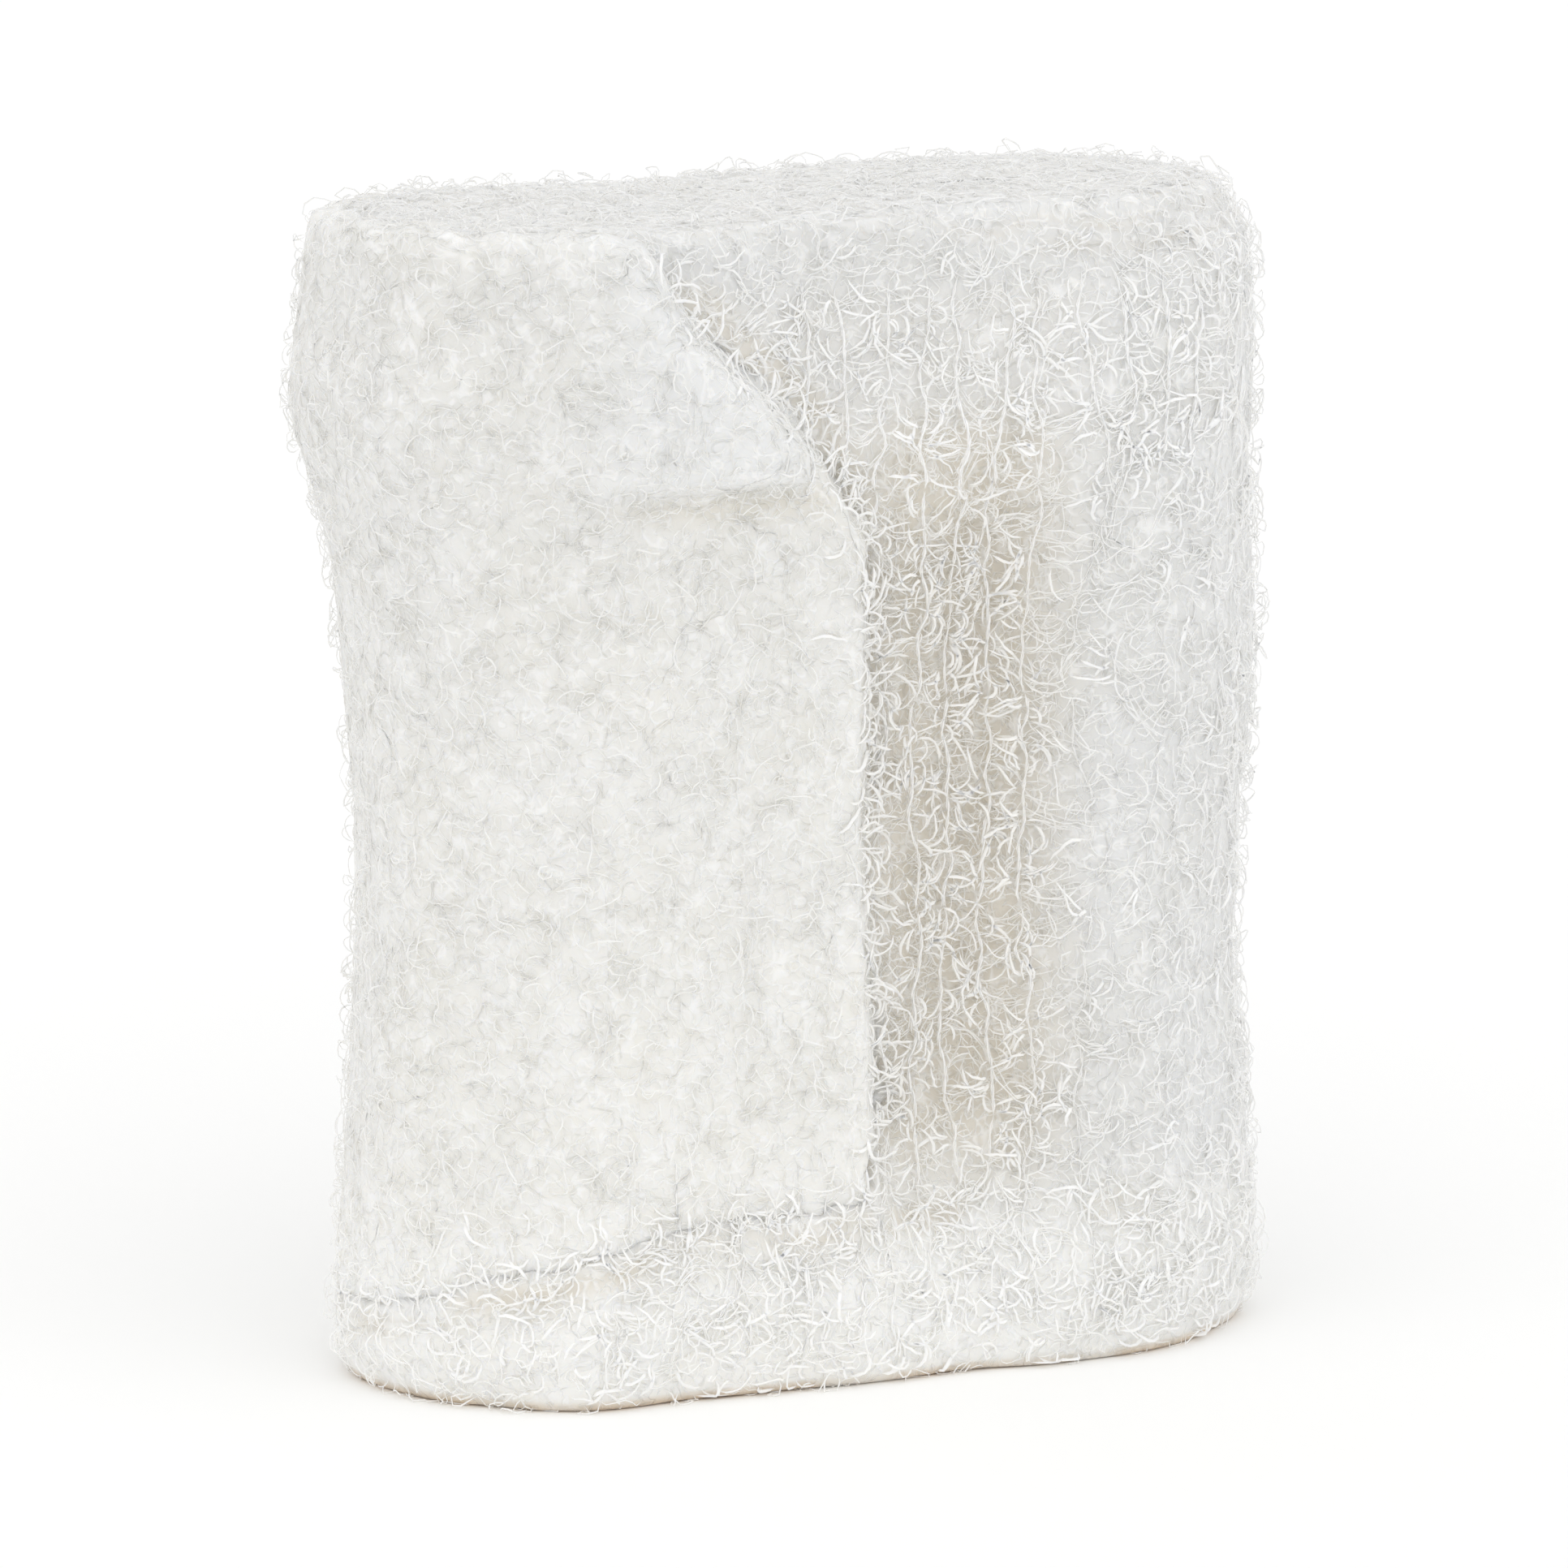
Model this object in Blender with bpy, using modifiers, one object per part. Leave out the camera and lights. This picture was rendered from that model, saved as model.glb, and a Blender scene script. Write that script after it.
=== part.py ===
"""Gauze bandage roll: one long strip of crimped gauze, wound up, pressed flat and stood on its end.

The roll is one solid with the spiral of its main turns in both ends. The last stretch of the strip
is a thick sheet of its own: it leaves the roll at the back left, goes round the left side and ends on
the front with its top corner turned over. Metres, +Z up, front facing -Y, origin under the middle.
"""
import math

import bmesh
import bpy
from mathutils import Vector

# Section of the roll: a flat oval, two straight stretches joined by two half circles
HEIGHT = 0.114              # width of the strip, so the height of the roll
HALF_FLAT = 0.0245          # half the length of a straight stretch
ROUND = 0.02225             # radius of the round sides, half the thickness of the roll
AROUND = 4 * HALF_FLAT + 2 * math.pi * ROUND

# Winding
TURN = 0.0034               # thickness of one main turn of fluffed gauze
TURNS = 5                   # main turns drawn in each end, besides the outermost
CORE_INSET = TURN * (TURNS + 1)
ROOT = 0.100                # way round from the front middle, leftwards, to where the loose end starts
ROOT_STEP = 0.0003          # width of the step that the loose end starts from
GAP = 0.0005                # air between the loose end and the roll
STATIONS = 66               # points around the section

# Ends of the roll
END_GROOVE = 0.0011         # depth of the groove between two main turns
FIRST_GROOVE = 0.0012       # extra depth of the top's first groove, inside the outermost turn
CREST = (0.30, 0.70)        # where the flat crest of a turn begins and ends, as a share of its thickness
CORE_DIP = 0.0020           # the flattened middle lies this far under the top
CORE_EDGE = 0.90            # share of the way in at which that dip begins
TOP_LEAN = 0.0018           # the top end is this much lower on the left
LEAN_START, LEAN_END = 0.030, -0.045    # where, across the roll, that drop begins and is complete
DOME_REACH = 0.35           # share of the way in at which the top's crests reach their full height
GROOVE_EASE = (0.30, 0.45)  # and where the first groove's extra depth dies out
LOW_ROUND = 0.0032          # rounding of the bottom rim
RIM_FRONT, RIM_SIDE = 0.0034, 0.0014    # height over which the rim sinks behind the loose end's lower edge
RIM_OPEN = 0.6              # and beside the loose end, as a share of the rim's height
RIM_ROWS = (0.55, 0.78)     # rows of points on the puffed rim, as shares of its height
RIM_FOOT = 0.0006           # the last row below the rim's upper limit
LOW_ROWS, TOP_ROWS = (0.22, 0.75), (0.50, 0.22, 0.06)   # and on the rounded edges, as shares of theirs
TOP_REACH = 0.0046          # height of the rows of faces that round the top rim
BODY_ROWS = 15              # rows of faces between the two hems

# Where the outer turn sinks below its own loose end, way round from the front middle, rightwards
SINK_START, SINK_END = 0.029, 0.013
HOLLOW_DEPTH = 0.0030       # extra depth of the hollow beside the free edge
HOLLOW_MIDDLE, HOLLOW_HALF = 0.0090, 0.0125
HOLLOW_LOW, HOLLOW_HIGH, HOLLOW_FADE = 0.016, 0.092, 0.012
SHOULDER_RISE = 0.0017      # how far the upper right of the front stands above the hollow's level
SHOULDER_START, SHOULDER_FULL, SHOULDER_END = 0.001, 0.011, 0.018

# Bulge of the outside over the plain section at each height: left and right side, front and back
BULGES = [  # height, left, right, front, back
    (0.000, 0.0004, 0.0002, 0.0006, 0.0000),
    (0.006, 0.0010, 0.0012, 0.0014, 0.0004),
    (0.018, -0.0002, 0.0002, 0.0006, 0.0000),
    (0.032, -0.0012, -0.0010, -0.0002, -0.0008),
    (0.050, -0.0019, -0.0004, -0.0008, -0.0012),
    (0.066, -0.0012, 0.0012, -0.0006, -0.0010),
    (0.080, 0.0006, 0.0006, -0.0002, -0.0006),
    (0.090, 0.0034, 0.0006, 0.0002, -0.0002),
    (0.096, 0.0050, 0.0010, 0.0004, 0.0000),
    (0.103, 0.0034, 0.0008, 0.0004, 0.0000),
    (0.114, 0.0018, 0.0000, 0.0000, -0.0004),
]

# Hems: how high the puffed bottom rim reaches, the height of the top rim and how far it is rounded
HEMS = [  # way round, bottom rim, top rim, top rounding
    (-0.1190, 0.0095, 0.1122, 0.0024),
    (-0.0700, 0.0095, 0.1122, 0.0038),
    (-0.0400, 0.0110, 0.1108, 0.0046),
    (-0.0180, 0.0150, 0.1092, 0.0046),
    (0.0000, 0.0162, 0.1098, 0.0030),
    (0.0120, 0.0160, 0.1110, 0.0020),
    (0.0240, 0.0150, 0.1114, 0.0018),
    (0.0400, 0.0108, 0.1112, 0.0018),
    (0.0550, 0.0070, 0.1108, 0.0018),
    (0.0800, 0.0062, 0.1112, 0.0018),
    (0.1000, 0.0066, 0.1116, 0.0020),
    (0.1190, 0.0095, 0.1122, 0.0024),
]

# Loose end
SHEET = TURN - GAP          # thickness of the loose end
EDGE_SHEET = 0.0016         # its thickness at a cut edge
EDGE_REACH = 0.0022         # how far in from the edge the thickness comes up
RIM_CLEAR = 0.0005          # its lower edge lies this far above the puffed rim
TOP_CLEAR = 0.0003          # its upper edge lies this far below the roll's top rim
CORNER = 0.0052             # radius of its bottom corner
SLANT = [  # way round, top of the sheet: the folded corner's slanting edge
    (0.0010, 0.0842),
    (0.0047, 0.0906),
    (0.0125, 0.0978),
    (0.0200, 0.1048),
    (0.0275, 0.1103),
    (0.0320, 0.1109),
]
FREE_EDGE = [  # share of the height, way round at the free edge
    (0.00, 0.0004),
    (0.14, -0.0008),
    (0.38, 0.0004),
    (0.70, 0.0001),
    (1.00, 0.0010),
]
FREE_EDGE_REACH = 0.012     # the free edge's waviness dies out over this length
EDGE_STATIONS = (0.0, 0.0007, 0.0018, 0.0034)   # rows of points beside a cut edge
COLUMNS = 25                # columns of points from the turned-over corner to the root
ROWS_BELOW, ROWS_ABOVE = 19, 6                  # rows below and above the corner's lower edge

# Turned-over corner, lying on the loose end
FOLD_RISE = 0.0026          # how far it stands above the sheet
FOLD_RIGHT = 0.0085         # its right end, way round
FOLD_LOW = 0.0880           # its lower edge
FOLD_SOFT = 0.0016          # width of the step at those edges
FOLD_LEFT_START, FOLD_LEFT_END = 0.0220, 0.0360
CREASE_FROM, CREASE_TO = (0.0385, 0.1040), (0.0262, 0.0890)
CREASE_DEPTH, CREASE_WIDTH = 0.0008, 0.0022

# Soft waves of the cloth: height of the wave, waves around, waves up, phase
WAVES = [
    (0.00042, 9, 0.6, 0.4),
    (0.00028, 15, -1.1, 1.9),
    (0.00016, 4, 2.6, 3.1),
    (0.00012, 23, 1.7, 5.0),
]


def smooth(low, high, value):
    """0 below low, 1 above high, with an even slope between."""
    share = min(max((value - low) / (high - low), 0.0), 1.0)
    return share * share * (3.0 - 2.0 * share)


def read_table(rows, column, at):
    """Value of a column at a place, on a smooth curve through a table sorted by its first column."""
    last = len(rows) - 1
    at = min(max(at, rows[0][0]), rows[last][0])
    index = next(index for index in range(last) if at <= rows[index + 1][0])
    slopes = []
    for middle in (index, index + 1):
        before, after = rows[max(middle - 1, 0)], rows[min(middle + 1, last)]
        slopes.append((after[column] - before[column]) / (after[0] - before[0]))
    low, high = rows[index], rows[index + 1]
    span = high[0] - low[0]
    share = (at - low[0]) / span
    bend = share * (1.0 - share) * span
    eased = low[column] + (high[column] - low[column]) * smooth(0.0, 1.0, share)
    return eased + bend * ((1.0 - share) * slopes[0] - share * slopes[1])


def evenly(start, stop, parts):
    """Values after start up to stop, a part apart."""
    return [start + (stop - start) * index / parts for index in range(1, parts + 1)]


def signed(way):
    """Way round from the front middle: leftwards positive, rightwards negative."""
    return (way + AROUND / 2) % AROUND - AROUND / 2


def section(way):
    """Point of the section's middle line and outward direction at a way round from the front middle."""
    arc = math.pi * ROUND
    run = way % AROUND
    if run < HALF_FLAT:
        return Vector((-run, 0)), Vector((0, -1))
    run -= HALF_FLAT
    if run < arc:
        turn = -math.pi / 2 - run / ROUND
        return Vector((-HALF_FLAT, 0)), Vector((math.cos(turn), math.sin(turn)))
    run -= arc
    if run < 2 * HALF_FLAT:
        return Vector((run - HALF_FLAT, 0)), Vector((0, 1))
    run -= 2 * HALF_FLAT
    if run < arc:
        turn = math.pi / 2 - run / ROUND
        return Vector((HALF_FLAT, 0)), Vector((math.cos(turn), math.sin(turn)))
    return Vector((HALF_FLAT - (run - arc), 0)), Vector((0, -1))


def place(way, offset, height):
    """A point that stands off the plain section by offset."""
    middle, outward = section(way)
    point = middle + outward * (ROUND + offset)
    return Vector((point.x, point.y, height))


def bulge(way, height):
    """Large form of the outside: the sides' bulges and waist, and the cloth's soft waves."""
    outward = section(way)[1]
    left, right, front, back = (read_table(BULGES, column, height) for column in (1, 2, 3, 4))
    across = (left if outward.x < 0 else right) * outward.x ** 2
    along = (front if outward.y < 0 else back) * outward.y ** 2
    waves = 0.0
    for size, around, up, phase in WAVES:
        turns = around * way / AROUND + up * height / HEIGHT
        waves += size * math.sin(2 * math.pi * turns + phase)
    return across + along + waves


def sunk(way):
    """1 where the outer turn lies under the loose end, 0 where it is the outside."""
    at = signed(way)
    if at >= ROOT:
        return 0.0
    return 1.0 - smooth(SINK_END, SINK_START, -at)


def body_offset(way, height):
    """The roll's surface between its hems."""
    at = -signed(way)
    upright = smooth(HOLLOW_LOW, HOLLOW_LOW + HOLLOW_FADE, height)
    upright *= 1.0 - smooth(HOLLOW_HIGH - HOLLOW_FADE, HOLLOW_HIGH, height)
    across = 1.0 - smooth(0.0, HOLLOW_HALF, abs(at - HOLLOW_MIDDLE))
    shoulder = smooth(SHOULDER_START, SHOULDER_FULL, at) * (1.0 - smooth(SHOULDER_END, SINK_START, at))
    shoulder *= smooth(HOLLOW_HIGH - HOLLOW_FADE, HOLLOW_HIGH, height)
    sink = TURN * sunk(way) + HOLLOW_DEPTH * across * upright - SHOULDER_RISE * shoulder
    return bulge(way, height) - sink


def rim_blend(way, height, rim):
    """1 on the body, falling to 0 on the puffed bottom rim, steeply below the loose end."""
    at = signed(way)
    reach = RIM_OPEN * rim
    if 0.0 <= at < ROOT:
        reach = RIM_FRONT + (RIM_SIDE - RIM_FRONT) * smooth(HALF_FLAT, HALF_FLAT + ROUND, at)
    return smooth(rim - reach, rim, height)


def side_offset(way, height):
    """The roll's side from its bottom rim to its top rim, both rounded."""
    rim, top, top_round = (read_table(HEMS, column, signed(way)) for column in (1, 2, 3))
    share = rim_blend(way, height, rim)
    offset = share * body_offset(way, height) + (1.0 - share) * bulge(way, height)
    return offset - rounding(height, LOW_ROUND) - rounding(top - height, top_round)


def rounding(distance, radius):
    """How far a quarter-round edge draws the side in, at a distance from its end."""
    inside = min(max(1.0 - distance / radius, 0.0), 1.0)
    return radius * (1.0 - math.sqrt(1.0 - inside * inside))


def side_heights(way):
    """Heights of the roll's rows of points at one station, from the bottom up."""
    rim, top = (read_table(HEMS, column, signed(way)) for column in (1, 2))
    low = [LOW_ROUND * share for share in LOW_ROWS]
    low += [rim * share for share in RIM_ROWS] + [rim - RIM_FOOT, rim]
    body = evenly(rim, top - TOP_REACH, BODY_ROWS)
    return low + body + [top - TOP_REACH * share for share in TOP_ROWS]


def roll_stations():
    """Ways round, from the root of the loose end inwards along the winding, once around."""
    last = STATIONS - 1
    ways = [ROOT + AROUND * index / last for index in range(last)]
    return ways + [ROOT + AROUND - ROOT_STEP]


def wound_end(mesh, ways, outline, height_at):
    """Closes one end of the roll with its spiral of turns, from the side's last row to the core."""
    count = len(ways)

    def line_point(index, share):
        way = ways[index % count]
        first = sunk(way)
        turns_in = index // count + first + share
        rim = ROUND - (outline[index % count].co.xy - section(way)[0]).length
        inset = rim + (CORE_INSET - rim) * (turns_in - first) / (TURNS + 1 - first)
        return place(way, -inset, height_at(way, inset / CORE_INSET, share))

    grooves = list(outline)
    grooves += [mesh.verts.new(line_point(index, 0.0)) for index in range(count, (TURNS + 1) * count + 1)]
    crests = [
        [mesh.verts.new(line_point(index, share)) for index in range(TURNS * count + 1)] for share in CREST
    ]
    inner = grooves[count:]
    for index in range(TURNS * count):
        lines = (grooves, crests[0], crests[1], inner)
        for line, neighbour in zip(lines, lines[1:]):
            mesh.faces.new((line[index], line[index + 1], neighbour[index + 1], neighbour[index]))
    mesh.faces.new((grooves[count - 1], grooves[0], crests[0][0], crests[1][0], inner[0]))
    final = TURNS * count
    mesh.faces.new(grooves[final:] + [crests[1][final], crests[0][final]])


def top_height(way, share_in, share):
    """Top end: domed a little, lower on the left, a groove between turns, the flattened core sunk."""
    rim = read_table(HEMS, 2, signed(way))
    lean = TOP_LEAN * smooth(-LEAN_START, -LEAN_END, -place(way, 0.0, 0.0).x)
    crest = rim + (HEIGHT - lean - rim) * smooth(0.0, DOME_REACH, share_in)
    core = CORE_DIP * smooth(CORE_EDGE, 1.0, share_in)
    groove = END_GROOVE + FIRST_GROOVE * (1.0 - smooth(*GROOVE_EASE, share_in))
    return crest - core - (groove if share == 0.0 else 0.0)


def bottom_height(way, share_in, share):
    """Bottom end: the crests and the core lie flat on the floor, with a groove between turns."""
    return END_GROOVE if share == 0.0 and share_in < TURNS / (TURNS + 1) else 0.0


def make_roll(collection):
    mesh = bmesh.new()
    ways = roll_stations()
    columns = [
        [mesh.verts.new(place(way, side_offset(way, height), height)) for height in side_heights(way)]
        for way in ways
    ]
    for column, following in zip(columns, columns[1:] + columns[:1]):
        for row in range(len(column) - 1):
            mesh.faces.new((column[row], following[row], following[row + 1], column[row + 1]))
    wound_end(mesh, ways, [column[-1] for column in columns], top_height)
    wound_end(mesh, ways, [column[0] for column in columns], bottom_height)
    bmesh.ops.recalc_face_normals(mesh, faces=mesh.faces)
    return add_object("gauze_roll", mesh, collection, (0.89, 0.88, 0.86))


def sheet_span(way):
    """Lowest and highest point of the loose end at a way round."""
    rim, top = (read_table(HEMS, column, way) for column in (1, 2))
    low = rim + RIM_CLEAR
    corner = max(CORNER - way, 0.0)
    low += CORNER - math.sqrt(CORNER ** 2 - corner ** 2)
    high = read_table(SLANT, 1, way) if way < SLANT[-1][0] else top - TOP_CLEAR
    return low, high


def sheet_thickness(way, height, low, high):
    """Thickness of the loose end: thin at its cut edges, doubled where the corner is turned over."""
    to_edge = min(way, height - low, high - height)
    full = smooth(0.0, 1.0, math.sqrt(min(max(to_edge / EDGE_REACH, 0.0), 1.0)))
    thickness = EDGE_SHEET + (SHEET - EDGE_SHEET) * full
    fold = smooth(FOLD_RIGHT, FOLD_RIGHT + FOLD_SOFT, way) * smooth(FOLD_LOW, FOLD_LOW + FOLD_SOFT, height)
    fold *= 1.0 - smooth(FOLD_LEFT_START, FOLD_LEFT_END, way)
    return thickness + FOLD_RISE * fold - crease(way, height)


def crease(way, height):
    """Depth of the crease that runs down to the tip of the turned-over corner."""
    start, end = Vector(CREASE_FROM), Vector(CREASE_TO)
    point = Vector((way, height))
    along = (point - start).dot(end - start) / (end - start).length_squared
    nearest = start + (end - start) * min(max(along, 0.0), 1.0)
    return CREASE_DEPTH * (1.0 - smooth(0.0, CREASE_WIDTH, (point - nearest).length))


def free_edge(share):
    """How far the free edge strays from the front middle, at a share of its height."""
    return read_table(FREE_EDGE, 1, share)


def sheet_columns():
    """Ways along the loose end from its free edge to its root."""
    fold = [(EDGE_STATIONS[-1] + FOLD_RIGHT) / 2, FOLD_RIGHT, FOLD_RIGHT + FOLD_SOFT]
    return list(EDGE_STATIONS) + fold + evenly(fold[-1], ROOT - ROOT_STEP - GAP, COLUMNS)


def sheet_rows(low, high):
    """Heights of the loose end's points in one column, close together above the turned-over corner's edge."""
    first = [low + station for station in EDGE_STATIONS]
    last = [high - station for station in reversed(EDGE_STATIONS)]
    split = min(FOLD_LOW, last[0] - EDGE_STATIONS[1])
    above = [split + (last[0] - split) * (row / ROWS_ABOVE) ** 1.5 for row in range(1, ROWS_ABOVE)]
    return first + evenly(first[-1], split, ROWS_BELOW) + above + last


def make_loose_end(collection):
    """Inner face of the loose end as an open surface, with Solidify for the cloth on it."""
    mesh = bmesh.new()
    columns = []
    thicknesses = []
    for along in sheet_columns():
        low, high = sheet_span(along)
        column = []
        for height in sheet_rows(low, high):
            share = (height - low) / (high - low)
            way = along + free_edge(share) * (1.0 - smooth(0.0, FREE_EDGE_REACH, along))
            offset = bulge(way, height) - TURN + GAP
            column.append(mesh.verts.new(place(way, offset, height)))
            thicknesses.append(sheet_thickness(along, height, low, high))
        columns.append(column)
    for column, following in zip(columns, columns[1:]):
        for row in range(len(column) - 1):
            mesh.faces.new((column[row], column[row + 1], following[row + 1], following[row]))
    sheet = add_object("loose_end", mesh, collection, (0.91, 0.90, 0.875))
    thickest = max(thicknesses)
    group = sheet.vertex_groups.new(name="thickness")
    for index, thickness in enumerate(thicknesses):
        group.add([index], thickness / thickest, "REPLACE")
    solidify = sheet.modifiers.new("cloth", "SOLIDIFY")
    solidify.thickness = thickest
    solidify.offset = 1.0
    solidify.vertex_group = group.name
    return sheet


def add_object(name, mesh, collection, colour):
    """A named object with a matt gauze material, in the part's collection."""
    data = bpy.data.meshes.new(name)
    mesh.to_mesh(data)
    mesh.free()
    data.shade_smooth()
    material = bpy.data.materials.new(name)
    material.use_nodes = True
    shader = material.node_tree.nodes["Principled BSDF"]
    shader.inputs["Base Color"].default_value = (*colour, 1.0)
    shader.inputs["Roughness"].default_value = 0.95
    shader.inputs["Metallic"].default_value = 0.0
    data.materials.append(material)
    item = bpy.data.objects.new(name, data)
    collection.objects.link(item)
    return item


def stand_on_origin(items):
    """Moves the pieces together so that the middle of their box is over the origin."""
    bpy.context.view_layer.update()
    graph = bpy.context.evaluated_depsgraph_get()
    points = []
    for item in items:
        solid = item.evaluated_get(graph)
        points += [item.matrix_world @ vertex.co for vertex in solid.data.vertices]
    middle = [(min(p[axis] for p in points) + max(p[axis] for p in points)) / 2 for axis in (0, 1)]
    for item in items:
        item.location = (-middle[0], -middle[1], 0.0)


def main():
    for item in list(bpy.data.objects):
        bpy.data.objects.remove(item, do_unlink=True)
    collection = bpy.data.collections.new("gauze_bandage_roll")
    bpy.context.scene.collection.children.link(collection)
    stand_on_origin([make_roll(collection), make_loose_end(collection)])


main()
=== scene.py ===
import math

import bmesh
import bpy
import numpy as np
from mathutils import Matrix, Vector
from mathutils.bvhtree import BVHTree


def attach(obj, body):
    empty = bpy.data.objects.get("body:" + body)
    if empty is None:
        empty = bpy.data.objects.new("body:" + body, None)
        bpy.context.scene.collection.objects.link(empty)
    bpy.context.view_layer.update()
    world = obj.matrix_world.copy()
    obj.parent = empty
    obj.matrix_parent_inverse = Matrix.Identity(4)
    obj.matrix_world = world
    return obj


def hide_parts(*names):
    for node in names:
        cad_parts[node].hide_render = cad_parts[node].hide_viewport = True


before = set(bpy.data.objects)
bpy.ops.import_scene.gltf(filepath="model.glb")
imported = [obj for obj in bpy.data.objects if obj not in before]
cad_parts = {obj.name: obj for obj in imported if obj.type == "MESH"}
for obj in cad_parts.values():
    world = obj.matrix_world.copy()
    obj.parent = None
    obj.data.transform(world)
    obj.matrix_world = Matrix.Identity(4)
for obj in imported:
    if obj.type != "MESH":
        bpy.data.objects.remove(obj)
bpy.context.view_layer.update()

# Gauze bandage roll: the looks of the crimped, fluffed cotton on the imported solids.
#
# Each solid gets a finer copy of itself in matted cotton. Over that lie the threads that the eye can
# tell apart: a net of crimped yarns with curly threads between them, the short fibres of the fluff,
# and the loops that stand off the edges. Every kind of thread is one joined mesh. Metres, +Z up,
# front facing -Y.
#
# A place on the roll is its way round the section, from the front middle leftwards, and its height.
# Its inset is how far it lies inside the plain section. A pair of numbers is where a change begins
# and ends, or the least and the most of a random draw.

BODY = "root"
ROLL_SLOT, SHEET_SLOT = "wound_gauze", "loose_gauze"
SEED = 11
SHARE = 1.0  # share of the threads that is made

# Section of the roll, as the solids have it: a flat oval
MIDDLE_X, MIDDLE_Y = 0.00142, 0.00129
HALF_FLAT = 0.0245
ROUND = 0.02225
AROUND = 4 * HALF_FLAT + 2 * math.pi * ROUND
TURN = 0.0034  # thickness of one main turn
ROOT = 0.1  # way round to where the loose end starts
HEIGHT = 0.114
OUTSIDE = 0.03  # a ray that looks for the surface starts this far outside the section

# Camera, found from the photograph's outline
CAMERA_AZIMUTH, CAMERA_ELEVATION = math.radians(-23.8), math.radians(10.5)
CAMERA_DISTANCE, CAMERA_CLIP = 0.9, (0.01, 20.0)
CAMERA_AIM = Vector((-0.0002, 0.00008, 0.0555))
VIEW_WIDTH = 0.15297  # real width that fills the picture at the roll's middle
SENSOR = 36.0

# Light
WHITE, SKY_STRENGTH = (1.0, 1.0, 1.0, 1.0), 0.83
KEY_STRENGTH = 0.8
KEY_SPREAD = math.radians(80)  # angle that the soft key light fills
KEY_TILT, KEY_TURN = math.radians(31), math.radians(-16)  # from straight above, and round to the left
FLOOR_SIZE = 12.0
BOUNCES = 16  # light goes on from fibre to fibre, which is what makes cotton white

# Finer copies of the solids
COPY_LEVELS = 2
WELD = 1e-6  # points nearer to each other than this are one
QUAD_FLAT, QUAD_SHAPE = math.radians(40), math.radians(60)  # how uneven a quad of two triangles may be
FIELD_WAVES, FIELD_SPREAD = 9, (0.7, 1.3)  # waves in a soft random field, and the spread of their lengths
LUMPS = ((0.00007, 0.0075, 0.03), (0.00003, 0.0035, 0.005))  # height, length around, length up
LUMPS_FROM = 0.004  # the lumps fade out below this height
END_SLOPE = (0.45, 0.8)  # upward part of the normal over which the side turns into an end
FOOT_ROUND, FOOT_FILL = 0.0032, 0.5  # rounding of the bottom rim, and how much of it the fluff fills
FOOT_INSETS = (0.0035, 0.007)

# Fine turns of gauze in the ends
FINE_TURNS = 3  # in one main turn
FINE_GROOVE, GROOVE_SHARPNESS = 0.00028, 2.5
GROOVE_WANDER, WANDER_LENGTH = 0.22, 0.011  # as a share of a fine turn, and over what length
DEPTH_EVEN, DEPTH_UNEVEN, DEPTH_LENGTH = 0.65, 0.35, 0.006
GROOVE_INSETS = (0.0008, 0.0022)

# The loose end's cut edges, pressed and frayed onto the roll
EXTENT_STEP = 0.002  # width of the columns in which an edge is looked for
EDGE_REACH = 0.004  # how far in from an edge the cloth is moved
EDGE_PRESS = 0.00045  # inwards, onto the roll
EDGE_DROP, EDGE_RAISE = 0.00045, 0.0004  # lower edge down to the puffed rim, upper edge up
EDGE_FRAY, FRAY_LENGTH = 0.00022, 0.0032
EDGE_RAGGED, RAGGED_LENGTH = 0.0005, 0.0028  # how far a cut edge strays in its own plane
RAGGED_WAYS = (0.002, 0.006)  # sideways before this, up and down after it
RAGGED_SPARED = 0.7  # share of it that the top edge is spared
FLUFF_ROOM = 0.0004  # the cloth is drawn in by this much, for the loops that stand off it
ROOT_CLOSE = 0.0007  # the root end is moved this far towards the step it starts from
ROOT_WAYS = (ROOT - 0.006, ROOT - 0.0015)
FEATHER, FEATHER_REST = 0.0036, 0.0003  # the free and the slanting edge thin out over this, to this
SLANT_SHARE = 0.75  # distance from the slanting edge, as a share of the height up to it
SLANT_END = (0.018, 0.028)  # ways round over which the slanting edge runs out into the top edge
TOP_LEAN, LEAN_FADE = 0.0022, (0.0003, 0.0024)  # the top edge leans in, least on its outer side
TOP_LEVEL = 0.113  # the top edge rises to this height, level with the roll's top
CORNER_ROUND = 0.005  # rounding of the free edge's lower corner

# Fluff fills the grooves between the turns, and the notch under the loose end's lower edge
FILL_CELL, FILL_MARGIN = 0.001, 2  # grid on which the highest ground is looked for
FILL_SPREAD, FILL_EASE = 4, 2  # cells that it spreads over, and over which it is evened out
TOP_FILL, NOTCH_FILL = 0.9, 0.95
TOP_HEIGHTS, TOP_INSETS = (0.104, 0.107), (0.001, 0.004)
BANK_REACH = 0.004  # how far past the root, and up from the floor, the fluffed bank begins
BANK_BELOW, BANK_ABOVE = (-0.006, -0.004), (0.0018, 0.004)  # heights over the lower edge
BANK_WAYS, BANK_TOP = (-0.001, 0.002), (0.106, 0.109)
BANK_FOLLOWS = 0.08  # it follows the loose end below this height, and at the root
OUTER_SIDE, BANK_DEPTH = TURN - 0.0012, TURN + 0.005  # insets of that side, and of what is moved

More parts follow.
